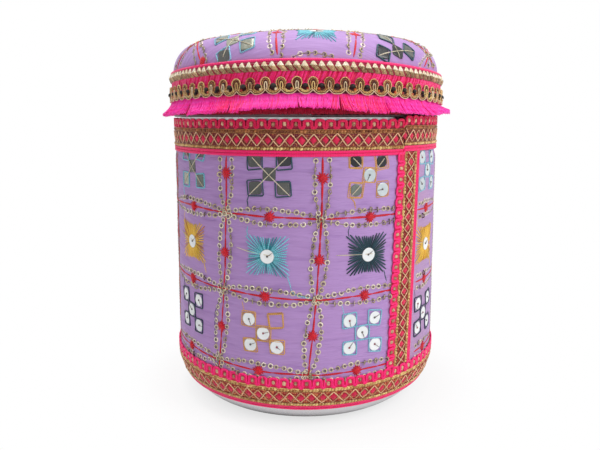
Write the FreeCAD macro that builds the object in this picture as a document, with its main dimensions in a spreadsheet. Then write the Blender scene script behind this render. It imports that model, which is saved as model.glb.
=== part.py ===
import FreeCAD, Part
import math
import os
from types import SimpleNamespace

import Sketcher

# Embroidered steel canister with a padded slip-on lid.
# Millimetres, +Z up, the axis of the canister is Z and it stands on z = 0.
# Angles round the canister are counted from the front, -Y, towards +X.

driving_sizes = {
    # Steel canister
    "can_radius": 76.2,
    "can_height": 191.5,
    "can_wall": 0.7,
    "can_corner": 20.0,
    "foot_ring": 7.2,
    "kick_rise": 1.6,
    "kick_slope": 3.0,
    "bead_radius": 1.2,
    # Padded jacket
    "glue_line": 0.1,
    "wadding": 2.7,
    "cloth": 1.0,
    "hem_height": 11.7,
    "foot_upright": 3.9,
    "foot_round": 12.0,
    "seam_gap": 0.8,
    "neck_reveal": 0.7,
    # Lace: looped gimp, gold lattice tape and edge cord, side by side
    "gimp_width": 5.8,
    "gimp_depth": 2.0,
    "gimp_relief": 0.7,
    "gimp_loops": 86,
    "lattice_width": 10.2,
    "lattice_depth": 0.9,
    "edge_width": 3.0,
    "edge_depth": 0.7,
    "lace_round": 0.3,
    "seam_angle": 43.0,
    # Steel lid
    "lid_clearance": 0.5,
    "lid_seat": 0.3,
    "lid_wall": 0.6,
    "lid_corner": 3.0,
    "skirt_drop": 24.2,
    "lid_bead": 1.0,
    # Pad and cloth on the lid
    "pad_side": 0.5,
    "pad_shoulder": 17.0,
    "pad_rise": 24.3,
    "skirt_reveal": 5.8,
    # Trims round the lid
    "tape_rise": 0.6,
    "tape_width": 15.8,
    "tape_depth": 1.2,
    "gold_width": 4.5,
    "gold_depth": 1.9,
    "gold_relief": 0.6,
    "gold_teeth": 126,
    "loop_width": 8.1,
    "loop_depth": 1.4,
    "loop_relief": 0.6,
    "loop_count": 65,
    "piping_radius": 0.8,
    "fringe_length": 8.4,
    "fringe_flare": 6.0,
    "fringe_depth": 2.2,
    "fringe_swell": 0.7,
    "fringe_tufts": 48,
    # Sequins and mirrors
    "sequin_radius": 3.3,
    "sequin_hole": 0.5,
    "sequin_depth": 0.3,
    "mirror_side": 6.6,
    "mirror_depth": 0.4,
    "motif_step": 7.0,
    "row_margin_top": 0.8,
    "row_margin_low": 13.6,
    "column_pitch": 52.9,
    "column_left": 25.4,
    "column_right": 23.7,
    "column_lean": 4.6,
    "back_columns": 5,
    "lid_row_pitch": 53.0,
    "lid_column_pitch": 43.2,
    "lid_pattern_x": 5.6,
    "lid_pattern_y": -11.6,
}


class Size:
    """A number read from the sheet, with the expression that binds it there."""

    def __init__(self, value, text):
        self.value = value
        self.text = text

    def join(self, other, sign, value):
        return Size(value, "(%s %s %s)" % (self.text, sign, other.text))

    def __add__(self, other):
        other = as_size(other)
        return self.join(other, "+", self.value + other.value)

    def __sub__(self, other):
        other = as_size(other)
        return self.join(other, "-", self.value - other.value)

    def __mul__(self, other):
        other = as_size(other)
        return self.join(other, "*", self.value * other.value)

    def __truediv__(self, other):
        other = as_size(other)
        return self.join(other, "/", self.value / other.value)

    def __rsub__(self, other):
        return as_size(other) - self


def as_size(value):
    return value if isinstance(value, Size) else Size(float(value), repr(float(value)))


def root(size):
    return Size(math.sqrt(size.value), "sqrt(%s)" % size.text)


doc = FreeCAD.newDocument("embroidered_canister")
sheet = doc.addObject("Spreadsheet::Sheet", "Sizes")
for row, (alias, amount) in enumerate(driving_sizes.items(), start=1):
    sheet.set("A%d" % row, alias)
    sheet.set("B%d" % row, str(amount))
    sheet.setAlias("B%d" % row, alias)
doc.recompute()
d = SimpleNamespace(**{name: Size(float(sheet.get(name)), "Sizes." + name) for name in driving_sizes})

zero = as_size(0)
degrees_per_radian = 180 / math.pi

# Radii, from the steel outwards
wadding_inside = d.can_radius + d.glue_line
wadding_face = wadding_inside + d.wadding
cloth_face = wadding_face + d.cloth
above_hem = d.can_corner - d.hem_height
hem_steel = d.can_radius - d.can_corner + root(d.can_corner * d.can_corner - above_hem * above_hem)
foot_face = hem_steel + d.cloth
bead_centre = d.can_radius - d.can_wall + d.bead_radius
lid_inside = bead_centre + d.bead_radius + d.lid_clearance
lid_outside = lid_inside + d.lid_wall
lid_face = lid_outside + d.cloth
tape_face = lid_face + d.tape_depth

# Heights, from the floor upwards
edge_top = d.hem_height + d.edge_width
foot_lattice_top = edge_top + d.lattice_width
foot_band_top = foot_lattice_top + d.gimp_width
foot_bend = foot_lattice_top - d.foot_upright
foot_slope = (cloth_face - foot_face) / (foot_bend - d.hem_height)
plate_under = d.can_height + d.lid_seat
plate_top = plate_under + d.lid_wall
skirt_low = plate_under - d.skirt_drop
jacket_top = skirt_low - d.neck_reveal
neck_gimp_low = jacket_top - d.gimp_width
neck_lattice_low = neck_gimp_low - d.lattice_width
neck_band_low = neck_lattice_low - d.edge_width
lid_hem = skirt_low + d.skirt_reveal
dome_spring = plate_top + d.pad_side
pad_apex = plate_top + d.pad_rise
cover_shoulder = d.pad_shoulder + d.cloth
cover_apex = pad_apex + d.cloth
tape_top = plate_top + d.tape_rise
tape_low = tape_top - d.tape_width

sub_parts = []


def new_body(name):
    body = doc.addObject("PartDesign::Body", name)
    body.Label = name
    sub_parts.append(body)
    return body


def new_feature(name, shape):
    feature = doc.addObject("Part::Feature", name)
    feature.Label = name
    feature.Shape = shape
    sub_parts.append(feature)


def new_sketch(body, name):
    sketch = body.newObject("Sketcher::SketchObject", body.Label + "_" + name)
    plane = next(item for item in body.Origin.OriginFeatures if item.Role == "XZ_Plane")
    sketch.AttachmentSupport = [(plane, "")]
    sketch.MapMode = "FlatFace"
    return sketch


def bind(sketch, kind, *items, size):
    """Add a dimension to the sketch and bind it to the sheet."""
    index = sketch.addConstraint(Sketcher.Constraint(kind, *items, size.value))
    sketch.setExpression("Constraints[%d]" % index, size.text)


def bind_point(sketch, geometry, end, across, up):
    """Fix a point of the sketch at its distance from the axis and its height."""
    for kind, size, axis in (("DistanceX", across, -2), ("DistanceY", up, -1)):
        if size.value == 0:
            sketch.addConstraint(Sketcher.Constraint("PointOnObject", geometry, end, axis))
        else:
            bind(sketch, kind, -1, 1, geometry, end, size=size)


def corner_arc(before, corner, after, radius):
    """Tangent points, centre and turning sense of a rounded corner."""
    way_in = (corner - before).normalize()
    way_out = (after - corner).normalize()
    turn = way_in.x * way_out.y - way_in.y * way_out.x
    angle = math.acos(max(-1, min(1, way_in.dot(way_out))))
    reach = radius * math.tan(angle / 2)
    start = corner - way_in * reach
    end = corner + way_out * reach
    side = 1 if turn > 0 else -1
    centre = start + FreeCAD.Vector(-way_in.y, way_in.x, 0) * (side * radius)
    return start, end, centre, turn > 0


def section(body, name, corners):
    """A closed section of straight runs; a corner is (across, up) or (across, up, rounding)."""
    sketch = new_sketch(body, name)
    count = len(corners)
    spots = [FreeCAD.Vector(corner[0].value, corner[1].value, 0) for corner in corners]
    arcs = {}
    for i, corner in enumerate(corners):
        if len(corner) == 3:
            arcs[i] = corner_arc(spots[i - 1], spots[i], spots[(i + 1) % count], corner[2].value)
    lines = []
    for i in range(count):
        start = arcs[i][1] if i in arcs else spots[i]
        after = (i + 1) % count
        end = arcs[after][0] if after in arcs else spots[after]
        lines.append(sketch.addGeometry(Part.LineSegment(start, end), False))
    for i, corner in enumerate(corners):
        before, after = lines[i - 1], lines[i]
        if i not in arcs:
            sketch.addConstraint(Sketcher.Constraint("Coincident", before, 2, after, 1))
            bind_point(sketch, after, 1, corner[0], corner[1])
            continue
        start, end, centre, left = arcs[i]
        first, last = (start, end) if left else (end, start)
        spread = [math.atan2(p.y - centre.y, p.x - centre.x) for p in (first, last)]
        circle = Part.Circle(centre, FreeCAD.Vector(0, 0, 1), corner[2].value)
        arc = sketch.addGeometry(Part.ArcOfCircle(circle, spread[0], spread[1]), False)
        mark = sketch.addGeometry(Part.Point(spots[i]), True)
        bind_point(sketch, mark, 1, corner[0], corner[1])
        for line, line_end, arc_end in ((before, 2, 1 if left else 2), (after, 1, 2 if left else 1)):
            sketch.addConstraint(Sketcher.Constraint("PointOnObject", mark, 1, line))
            sketch.addConstraint(Sketcher.Constraint("Tangent", line, line_end, arc, arc_end))
        bind(sketch, "Radius", arc, size=corner[2])
    return sketch


def dome_section(body, name, base, radius, shoulder, apex):
    """Half a crowned cushion: flat base, short side, shoulder arc and crown arc."""
    sketch = new_sketch(body, name)
    inset = radius.value - shoulder.value
    rise = apex.value - dome_spring.value
    crown = crown_radius(rise, inset, shoulder.value)
    tangent = math.atan2(crown - rise, inset)
    up = FreeCAD.Vector(0, 0, 1)
    foot = FreeCAD.Vector(0, base.value, 0)
    rim = FreeCAD.Vector(radius.value, base.value, 0)
    spring = FreeCAD.Vector(radius.value, dome_spring.value, 0)
    top = FreeCAD.Vector(0, apex.value, 0)
    shoulder_circle = Part.Circle(FreeCAD.Vector(inset, dome_spring.value, 0), up, shoulder.value)
    crown_circle = Part.Circle(FreeCAD.Vector(0, apex.value - crown, 0), up, crown)
    g_base = sketch.addGeometry(Part.LineSegment(foot, rim), False)
    g_side = sketch.addGeometry(Part.LineSegment(rim, spring), False)
    g_shoulder = sketch.addGeometry(Part.ArcOfCircle(shoulder_circle, 0, tangent), False)
    g_crown = sketch.addGeometry(Part.ArcOfCircle(crown_circle, tangent, math.pi / 2), False)
    g_axis = sketch.addGeometry(Part.LineSegment(top, foot), False)
    rules = (
        ("Coincident", g_base, 2, g_side, 1),
        ("PointOnObject", g_base, 1, -2),
        ("Horizontal", g_base),
        ("Vertical", g_side),
        ("Tangent", g_side, 2, g_shoulder, 1),
        ("Tangent", g_shoulder, 2, g_crown, 1),
        ("PointOnObject", g_crown, 3, -2),
        ("PointOnObject", g_crown, 2, -2),
        ("Coincident", g_crown, 2, g_axis, 1),
        ("Coincident", g_axis, 2, g_base, 1),
    )
    for rule in rules:
        sketch.addConstraint(Sketcher.Constraint(*rule))
    bind(sketch, "DistanceY", -1, 1, g_base, 1, size=base)
    bind(sketch, "DistanceX", -1, 1, g_side, 1, size=radius)
    bind(sketch, "DistanceY", -1, 1, g_side, 2, size=dome_spring)
    bind(sketch, "Radius", g_shoulder, size=shoulder)
    bind(sketch, "DistanceY", -1, 1, g_crown, 2, size=apex)
    return sketch


def crown_radius(rise, inset, shoulder):
    """Radius of the crown arc, centred on the axis, that runs smoothly into the shoulder arc."""
    return (rise * rise + inset * inset - shoulder * shoulder) / (2 * (rise - shoulder))


def turned(body, sketch, kind="Revolution", angle=as_size(360)):
    """Turn a section about the axis of the canister."""
    feature = body.newObject("PartDesign::" + kind, sketch.Label + "_" + kind.lower())
    feature.Profile = sketch
    feature.ReferenceAxis = (sketch, ["V_Axis"])
    feature.setExpression("Angle", angle.text)
    sketch.Visibility = False
    return feature


def ring(name, corners, angle=as_size(360), start=None):
    """A turned piece; start is the angle from the front where an open one begins."""
    body = new_body(name)
    turned(body, section(body, "section", corners), angle=angle)
    if start is not None:
        body.Placement = FreeCAD.Placement(FreeCAD.Vector(), FreeCAD.Rotation(FreeCAD.Vector(0, 0, 1), 1))
        body.setExpression("Placement.Rotation.Angle", (start - 90).text)
    return body


def rolled_bead(body, radius, height, bead):
    """Turn a bead onto the rim of a steel wall."""
    sketch = new_sketch(body, "bead")
    centre = FreeCAD.Vector(radius.value, height.value, 0)
    circle = sketch.addGeometry(Part.Circle(centre, FreeCAD.Vector(0, 0, 1), bead.value), False)
    bind_point(sketch, circle, 3, radius, height)
    bind(sketch, "Radius", circle, size=bead)
    turned(body, sketch)


def canister():
    inner = d.can_radius - d.can_wall
    slope_foot = d.can_radius - d.can_corner - d.foot_ring
    kick_radius = slope_foot - d.kick_slope
    body = ring("canister", [
        (zero, d.kick_rise),
        (kick_radius, d.kick_rise),
        (slope_foot, zero),
        (d.can_radius, zero, d.can_corner),
        (d.can_radius, d.can_height - d.bead_radius),
        (inner, d.can_height - d.bead_radius),
        (inner, d.can_wall, d.can_corner - d.can_wall),
        (slope_foot, d.can_wall),
        (kick_radius, d.kick_rise + d.can_wall),
        (zero, d.kick_rise + d.can_wall),
    ])
    rolled_bead(body, bead_centre, d.can_height - d.bead_radius, d.bead_radius)


def jacket():
    """Wadding and cloth, open along the seam that the lace covers and drawn in over the can's round foot."""
    open_turn = 360 - d.seam_gap / cloth_face * degrees_per_radian
    start = d.seam_angle + d.seam_gap / cloth_face * degrees_per_radian / 2
    inner_top = jacket_top - d.cloth
    wadding_low = d.hem_height + (wadding_inside - hem_steel) / foot_slope
    ring("body_wadding", [
        (wadding_inside, wadding_low),
        (wadding_face, foot_bend, d.foot_round),
        (wadding_face, inner_top),
        (wadding_inside, inner_top),
    ], open_turn, start)
    ring("body_cover", [
        (hem_steel, d.hem_height),
        (foot_face, d.hem_height),
        (cloth_face, foot_bend, d.foot_round),
        (cloth_face, jacket_top, d.cloth),
        (d.can_radius, jacket_top),
        (d.can_radius, inner_top),
        (wadding_face, inner_top),
        (wadding_face, foot_bend, d.foot_round),
    ], open_turn, start)


def band_section(low_face, high_face, low, high, depth):
    """A flat band lying on the cloth, with its outer edges rounded."""
    return [
        (low_face, low),
        (low_face + depth, low, d.lace_round),
        (high_face + depth, high, d.lace_round),
        (high_face, high),
    ]


def polar(radius, angle, height):
    return FreeCAD.Vector(radius * math.cos(angle), radius * math.sin(angle), height)


def lobed_wire(valley, relief, lobes, height):
    """A ring of arcs that swell out from the valley radius by the relief."""
    step = 2 * math.pi / lobes
    edges = []
    for k in range(lobes):
        points = [polar(valley, k * step, height),
                  polar(valley + relief, (k + 0.5) * step, height),
                  polar(valley, (k + 1) * step, height)]
        edges.append(Part.Arc(*points).toShape())
    return Part.Wire(edges)


def lobed_ring(name, inner, depth, relief, lobes, low, high):
    """A braid ring whose strands swell out of its face, one lobe to a loop."""
    valley = inner.value + depth.value - relief.value
    outer_wire = lobed_wire(valley, relief.value, int(lobes.value), low.value)
    inner_wire = Part.Wire(Part.makeCircle(inner.value, FreeCAD.Vector(0, 0, low.value)))
    face = Part.makeFace([outer_wire, inner_wire], "Part::FaceMakerBullseye")
    new_feature(name, face.extrude(FreeCAD.Vector(0, 0, high.value - low.value)))


def bands():
    edge_top_face = foot_face + foot_slope * d.edge_width
    lattice_face = cloth_face + d.lattice_depth
    lobed_ring("top_band_gimp", cloth_face, d.gimp_depth, d.gimp_relief, d.gimp_loops,
               neck_gimp_low, jacket_top - d.cloth)
    ring("top_band_lattice",
         band_section(cloth_face, cloth_face, neck_lattice_low, neck_gimp_low, d.lattice_depth))
    ring("top_band_cord", band_section(cloth_face, cloth_face, neck_band_low, neck_lattice_low, d.edge_depth))
    lobed_ring("bottom_band_gimp", cloth_face, d.gimp_depth, d.gimp_relief, d.gimp_loops,
               foot_lattice_top, foot_band_top)
    ring("bottom_band_lattice", [
        (edge_top_face, edge_top),
        (edge_top_face + d.lattice_depth, edge_top, d.lace_round),
        (lattice_face, foot_bend, d.foot_round),
        (lattice_face, foot_lattice_top, d.lace_round),
        (cloth_face, foot_lattice_top),
        (cloth_face, foot_bend, d.foot_round),
    ])
    ring("bottom_band_cord", band_section(foot_face, edge_top_face, d.hem_height, edge_top, d.edge_depth))
    # The seam band: the same three strips stood on end, gimp to the left
    strips = (("seam_band_gimp", d.gimp_width, d.gimp_depth),
              ("seam_band_lattice", d.lattice_width, d.lattice_depth),
              ("seam_band_cord", d.edge_width, d.edge_depth))
    band_width = d.gimp_width + d.lattice_width + d.edge_width
    start = d.seam_angle - band_width / cloth_face * degrees_per_radian / 2
    for name, width, depth in strips:
        turn = width / cloth_face * degrees_per_radian
        ring(name, band_section(cloth_face, cloth_face, foot_band_top, neck_band_low, depth), turn, start)
        start = start + turn


def lid():
    shell = ring("lid_shell", [
        (zero, plate_under),
        (lid_inside, plate_under, d.lid_corner - d.lid_wall),
        (lid_inside, skirt_low),
        (lid_outside, skirt_low),
        (lid_outside, plate_top, d.lid_corner),
        (zero, plate_top),
    ])
    rolled_bead(shell, lid_inside + d.lid_bead, skirt_low + d.lid_bead, d.lid_bead)
    pad = new_body("lid_pad")
    turned(pad, dome_section(pad, "section", plate_top, lid_outside, d.pad_shoulder, pad_apex))
    cover = new_body("lid_cover")
    turned(cover, dome_section(cover, "outside", lid_hem, lid_face, cover_shoulder, cover_apex))
    turned(cover, dome_section(cover, "inside", lid_hem, lid_outside, d.pad_shoulder, pad_apex), "Groove")


def lid_trims():
    ring("lid_tape", band_section(lid_face, lid_face, tape_low, tape_top, d.tape_depth))
    lobed_ring("lid_gold_braid", tape_face, d.gold_depth, d.gold_relief, d.gold_teeth,
               tape_top - d.gold_width, tape_top)
    lobed_ring("lid_loop_braid", tape_face, d.loop_depth, d.loop_relief, d.loop_count,
               tape_low, tape_low + d.loop_width)
    # The piping rests on the tape's top edge and touches the shoulder of the cloth
    rest = tape_top + d.piping_radius - dome_spring
    reach = cover_shoulder + d.piping_radius
    piping = doc.addObject("Part::Torus", "lid_piping")
    piping.Label = "lid_piping"
    inset = lid_face - cover_shoulder
    piping.setExpression("Radius1", "%s + sqrt(%s ^ 2 - %s ^ 2)" % (inset.text, reach.text, rest.text))
    piping.setExpression("Radius2", d.piping_radius.text)
    piping.setExpression("Placement.Base.z", (tape_top + d.piping_radius).text)
    sub_parts.append(piping)


def lid_fringe():
    """Cut threads hanging from the tape's lower edge, flared and gathered into soft tufts."""
    top = tape_low.value
    low = top - d.fringe_length.value
    outer_top = tape_face.value
    outer_low = outer_top + d.fringe_flare.value
    tufts = int(d.fringe_tufts.value)
    waist = 0.55
    swell = d.fringe_swell.value
    wires = [lobed_wire(outer_top - swell, swell / 2, tufts, top),
             lobed_wire(outer_top - swell + d.fringe_flare.value * waist, swell, tufts, (top + low) / 2),
             lobed_wire(outer_low - swell, swell, tufts, low)]
    flare = Part.makeLoft(wires, True, True)
    depth = d.fringe_depth.value
    hollow_spots = ((lid_face.value, top),
                    (outer_top + d.fringe_flare.value * waist - depth, (top + low) / 2),
                    (outer_low - depth, low))
    hollow_wires = [Part.Wire(Part.makeCircle(radius, FreeCAD.Vector(0, 0, height)))
                    for radius, height in hollow_spots]
    new_feature("lid_fringe", flare.cut(Part.makeLoft(hollow_wires, True, True)))


def sewn_place(spot, across, outward):
    """A placement whose z axis is the outward normal and whose x axis lies across the cloth."""
    up = outward.cross(across)
    matrix = FreeCAD.Matrix(across.x, up.x, outward.x, spot.x,
                            across.y, up.y, outward.y, spot.y,
                            across.z, up.z, outward.z, spot.z,
                            0, 0, 0, 1)
    return FreeCAD.Placement(matrix)


def sequin(place):
    disc = Part.makeCylinder(d.sequin_radius.value, d.sequin_depth.value)
    disc = disc.cut(Part.makeCylinder(d.sequin_hole.value, d.sequin_depth.value))
    disc.Placement = place
    return disc


def mirror(place):
    side = d.mirror_side.value
    glass = Part.makeBox(side, side, d.mirror_depth.value, FreeCAD.Vector(-side / 2, -side / 2, 0))
    glass.Placement = place
    return glass


def quincunx():
    """Offsets of a motif's five pieces: one in the middle and four at the corners."""
    step = d.motif_step.value
    return [(0, 0)] + [(x * step, y * step) for x in (-1, 1) for y in (-1, 1)]


def on_body(along, height):
    """The place on the cover a distance along the cloth from the seam, counted towards +X."""
    radius = cloth_face.value
    turn = math.radians(d.seam_angle.value) + along / radius
    outward = FreeCAD.Vector(math.sin(turn), -math.cos(turn), 0)
    spot = outward * radius + FreeCAD.Vector(0, 0, height)
    return sewn_place(spot, FreeCAD.Vector(math.cos(turn), math.sin(turn), 0), outward)


def columns():
    """Motif columns as a distance from the seam and a lean: one right of it, three left, the rest behind."""
    right = d.column_right.value
    left = [-d.column_left.value - k * d.column_pitch.value for k in range(3)]
    back = int(d.back_columns.value)
    gap = (left[-1] + 2 * math.pi * cloth_face.value - right) / (back + 1)
    leaning = left + [right + gap * (k + 1) for k in range(back)]
    return [(right, 0)] + [(along, d.column_lean.value) for along in leaning]


def body_sewing():
    half = d.motif_step.value + d.mirror_side.value / 2
    top_row = neck_band_low.value - d.row_margin_top.value - half
    low_row = foot_band_top.value + d.row_margin_low.value + half
    middle_row = (top_row + low_row) / 2
    middle_share = 0.35
    sequins, mirrors = [], []
    for along, lean in columns():
        sequins.append(sequin(on_body(along - lean * middle_share, middle_row)))
        for x, y in quincunx():
            mirrors.append(mirror(on_body(along + x, top_row + y)))
            sequins.append(sequin(on_body(along - lean + x, low_row + y)))
    new_feature("body_sequins", Part.makeCompound(sequins))
    new_feature("body_mirrors", Part.makeCompound(mirrors))


def on_lid(x, y):
    """The place of a point of the flat cloth once it is laid over the crown and shoulder of the lid."""
    distance = math.hypot(x, y)
    shoulder = cover_shoulder.value
    inset = lid_face.value - shoulder
    crown = crown_radius(cover_apex.value - dome_spring.value, inset, shoulder)
    edge_tilt = math.asin(inset / (crown - shoulder))
    tilt = distance / crown
    radius = crown * math.sin(tilt)
    height = cover_apex.value - crown + crown * math.cos(tilt)
    if tilt > edge_tilt:
        tilt = edge_tilt + (distance - crown * edge_tilt) / shoulder
        radius = inset + shoulder * math.sin(tilt)
        height = dome_spring.value + shoulder * math.cos(tilt)
    way = FreeCAD.Vector(x / distance, y / distance, 0)
    outward = way * math.sin(tilt) + FreeCAD.Vector(0, 0, math.cos(tilt))
    across = (FreeCAD.Vector(1, 0, 0) - outward * outward.x).normalize()
    return sewn_place(way * radius + FreeCAD.Vector(0, 0, height), across, outward)


def lid_sewing():
    """The cloth's pattern carried over the lid: rows of a sequin between two fives of mirrors."""
    sequins, mirrors = [], []
    # A mirror any further out would reach the piping
    reach = lid_face.value + 0.7 * d.mirror_side.value
    for row in (-1, 0, 1):
        y = d.lid_pattern_y.value + row * d.lid_row_pitch.value
        middle = d.lid_pattern_x.value
        sequins.append(sequin(on_lid(middle, y)))
        for side in (-1, 1):
            for u, v in quincunx():
                spot = (middle + side * d.lid_column_pitch.value + u, y + v)
                if math.hypot(*spot) < reach:
                    mirrors.append(mirror(on_lid(*spot)))
    new_feature("lid_sequins", Part.makeCompound(sequins))
    new_feature("lid_mirrors", Part.makeCompound(mirrors))


canister()
jacket()
bands()
lid()
lid_trims()
lid_fringe()
body_sewing()
lid_sewing()
doc.recompute()

for item in doc.Objects:
    if "Invalid" in item.State or "Error" in item.State:
        raise RuntimeError("%s failed to build: %s" % (item.Label, item.State))
for part in sub_parts:
    if part.Shape.isNull() or not part.Shape.isValid():
        raise RuntimeError("%s has no valid shape" % part.Label)

os.makedirs("parts", exist_ok=True)
for part in sub_parts:
    part.Shape.exportStep(os.path.join("parts", part.Label + ".step"))
    box = part.Shape.BoundBox
    print("%-20s solids %3d  volume %9.1f  z %.1f to %.1f  radius %.1f" % (
        part.Label, len(part.Shape.Solids), part.Shape.Volume, box.ZMin, box.ZMax, box.XMax))
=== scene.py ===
import bpy, math, random
import numpy as np
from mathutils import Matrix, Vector


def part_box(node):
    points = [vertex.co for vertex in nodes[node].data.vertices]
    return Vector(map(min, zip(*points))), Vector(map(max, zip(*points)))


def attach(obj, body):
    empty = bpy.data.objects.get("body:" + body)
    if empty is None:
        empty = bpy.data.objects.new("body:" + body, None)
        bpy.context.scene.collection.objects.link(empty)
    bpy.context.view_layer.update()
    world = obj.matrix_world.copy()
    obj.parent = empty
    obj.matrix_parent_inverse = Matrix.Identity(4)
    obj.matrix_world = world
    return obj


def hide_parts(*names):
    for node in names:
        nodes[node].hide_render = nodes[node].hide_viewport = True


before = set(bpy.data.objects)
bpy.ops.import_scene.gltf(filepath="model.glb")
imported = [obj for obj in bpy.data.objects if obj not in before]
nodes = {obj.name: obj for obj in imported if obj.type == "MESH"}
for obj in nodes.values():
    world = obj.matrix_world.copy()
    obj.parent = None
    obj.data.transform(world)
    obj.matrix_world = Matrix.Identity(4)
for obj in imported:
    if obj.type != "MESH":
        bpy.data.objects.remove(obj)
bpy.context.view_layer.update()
mm = 0.001
twoPi = 2 * math.pi
chance = random.Random(11)              # uneven hand work, the same on every run
dice = np.random.RandomState(11)
print("frame loaded:", len(nodes), "nodes")


def waver(size):
    return chance.uniform(-size, size)


def strays(size, shape):
    return dice.uniform(-size, size, shape)


def paired(x, y):
    return np.stack(np.broadcast_arrays(x, y), -1).astype(float)


def unit(v):
    return v / (np.linalg.norm(v, axis=-1, keepdims=True) + 1e-12)


def wrapped(value, whole):              # the same place, nearest to 0
    return (value + whole / 2) % whole - whole / 2


def hump(distance, half):               # 1 in the middle, fading to both sides
    return np.exp(-(distance / half) ** 2)


def placed(name, data):
    made = bpy.data.objects.new(name, data)
    bpy.context.scene.collection.objects.link(made)
    return made


# shader nodes

def hue(red, green, blue):
    def linear(v):
        v /= 255
        return v / 12.92 if v <= 0.04045 else ((v + 0.055) / 1.055) ** 2.4
    return (linear(red), linear(green), linear(blue), 1)


class Wire:                             # one socket; sums and products of it become Math nodes
    def __init__(self, finish, socket):
        self.finish, self.socket = finish, socket

    def math(self, kind, *values):
        return self.finish.node("Math", {"operation": kind}, dict(enumerate(values)))

    def __add__(self, other):
        return self.math("ADD", self, other)

    def __radd__(self, other):
        return self.math("ADD", other, self)

    def __sub__(self, other):
        return self.math("SUBTRACT", self, other)

    def __rsub__(self, other):
        return self.math("SUBTRACT", other, self)

    def __mul__(self, other):
        return self.math("MULTIPLY", self, other)

    def __rmul__(self, other):
        return self.math("MULTIPLY", other, self)

    def __truediv__(self, other):
        return self.math("DIVIDE", self, other)

    def __rtruediv__(self, other):
        return self.math("DIVIDE", other, self)

    def step(self, edge):
        return self.math("GREATER_THAN", self, edge)

    def size(self):
        return self.math("ABSOLUTE", self)

    def wave(self):                     # 0 to 1, once per whole number
        return self.math("SINE", self * twoPi) * 0.5 + 0.5


class Finish:                           # a material and the nodes that make it
    def __init__(self, name, owner=None):
        self.material = owner or bpy.data.materials.new(name)
        self.material.use_nodes = True
        self.tree = self.material.node_tree
        self.tree.nodes.clear()

    def node(self, kind, settings=None, inputs=None, out=0):
        made = self.tree.nodes.new("ShaderNode" + kind)
        for key, value in (settings or {}).items():
            setattr(made, key, value)
        for key, value in (inputs or {}).items():
            if isinstance(value, Wire):
                self.tree.links.new(value.socket, made.inputs[key])
            else:
                made.inputs[key].default_value = value
        return Wire(self, made.outputs[out]) if made.outputs else None

    def mix(self, amount, *colours):    # two colours, written as red, green and blue or wired
        first, second = (c if isinstance(c, Wire) else hue(*c) for c in colours)
        return self.node("Mix", {"data_type": "RGBA"}, {0: amount, 6: first, 7: second}, 2)

    def place(self):
        return self.node("TexCoord", out="Object")

    def flatPlace(self):                # millimetres on the flat cloth, or along a thread and round it
        return self.node("UVMap", {"uv_map": "strand"})

    def part(self, vector, axis):
        return self.node("SeparateXYZ", {}, {0: vector}, axis)

    def strand(self):
        return self.part(self.flatPlace(), 0), self.part(self.flatPlace(), 1)

    def measure(self, kind, *vectors):  # a length or a dot product
        return self.node("VectorMath", {"operation": kind}, dict(enumerate(vectors)), "Value")

    def noise(self, scale, detail=2, vector=None, stretch=None):
        vector = vector or self.place()
        if stretch:
            vector = self.node("Mapping", {}, {"Vector": vector, "Scale": stretch})
        return self.node("TexNoise", {}, {"Vector": vector, "Scale": scale, "Detail": detail})

    def island(self):                   # one random value for each stitch or sequin
        return self.node("NewGeometry", out="Random Per Island")

    def fade(self, value, start, stop):     # smoothly from 0 to 1
        return self.node("MapRange", {"interpolation_type": "SMOOTHSTEP"}, {0: value, 1: start, 2: stop})

    def ray(self, kind):                # 1 for what the camera, or metal, sees
        return self.node("LightPath", out="Is %s Ray" % kind)

    def bump(self, height, strength, distance, **below):
        return self.node("Bump", {}, {"Strength": strength, "Distance": distance, "Height": height, **below})

    def surface(self, **inputs):
        names = {"colour": "Base Color", "rough": "Roughness", "metal": "Metallic", "normal": "Normal",
                 "coat": "Coat Weight", "coatRough": "Coat Roughness", "sheen": "Sheen Weight",
                 "sheenRough": "Sheen Roughness", "sheenTint": "Sheen Tint", "level": "Specular IOR Level",
                 "glow": "Emission Color", "glowLevel": "Emission Strength"}
        shader = self.node("BsdfPrincipled", {}, {names[k]: v for k, v in inputs.items()})
        self.node("OutputMaterial", {}, {"Surface": shader})
        return self


# mesh building, in millimetres

def cells(rows, columns, roundRows=False, roundColumns=False):      # the four corners of each cell in a grid
    i, j = np.meshgrid(np.arange(rows - 1 + roundRows), np.arange(columns - 1 + roundColumns), indexing="ij")
    return [(i.ravel() + a, j.ravel() + b) for a, b in ((0, 0), (0, 1), (1, 1), (1, 0))]


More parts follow.
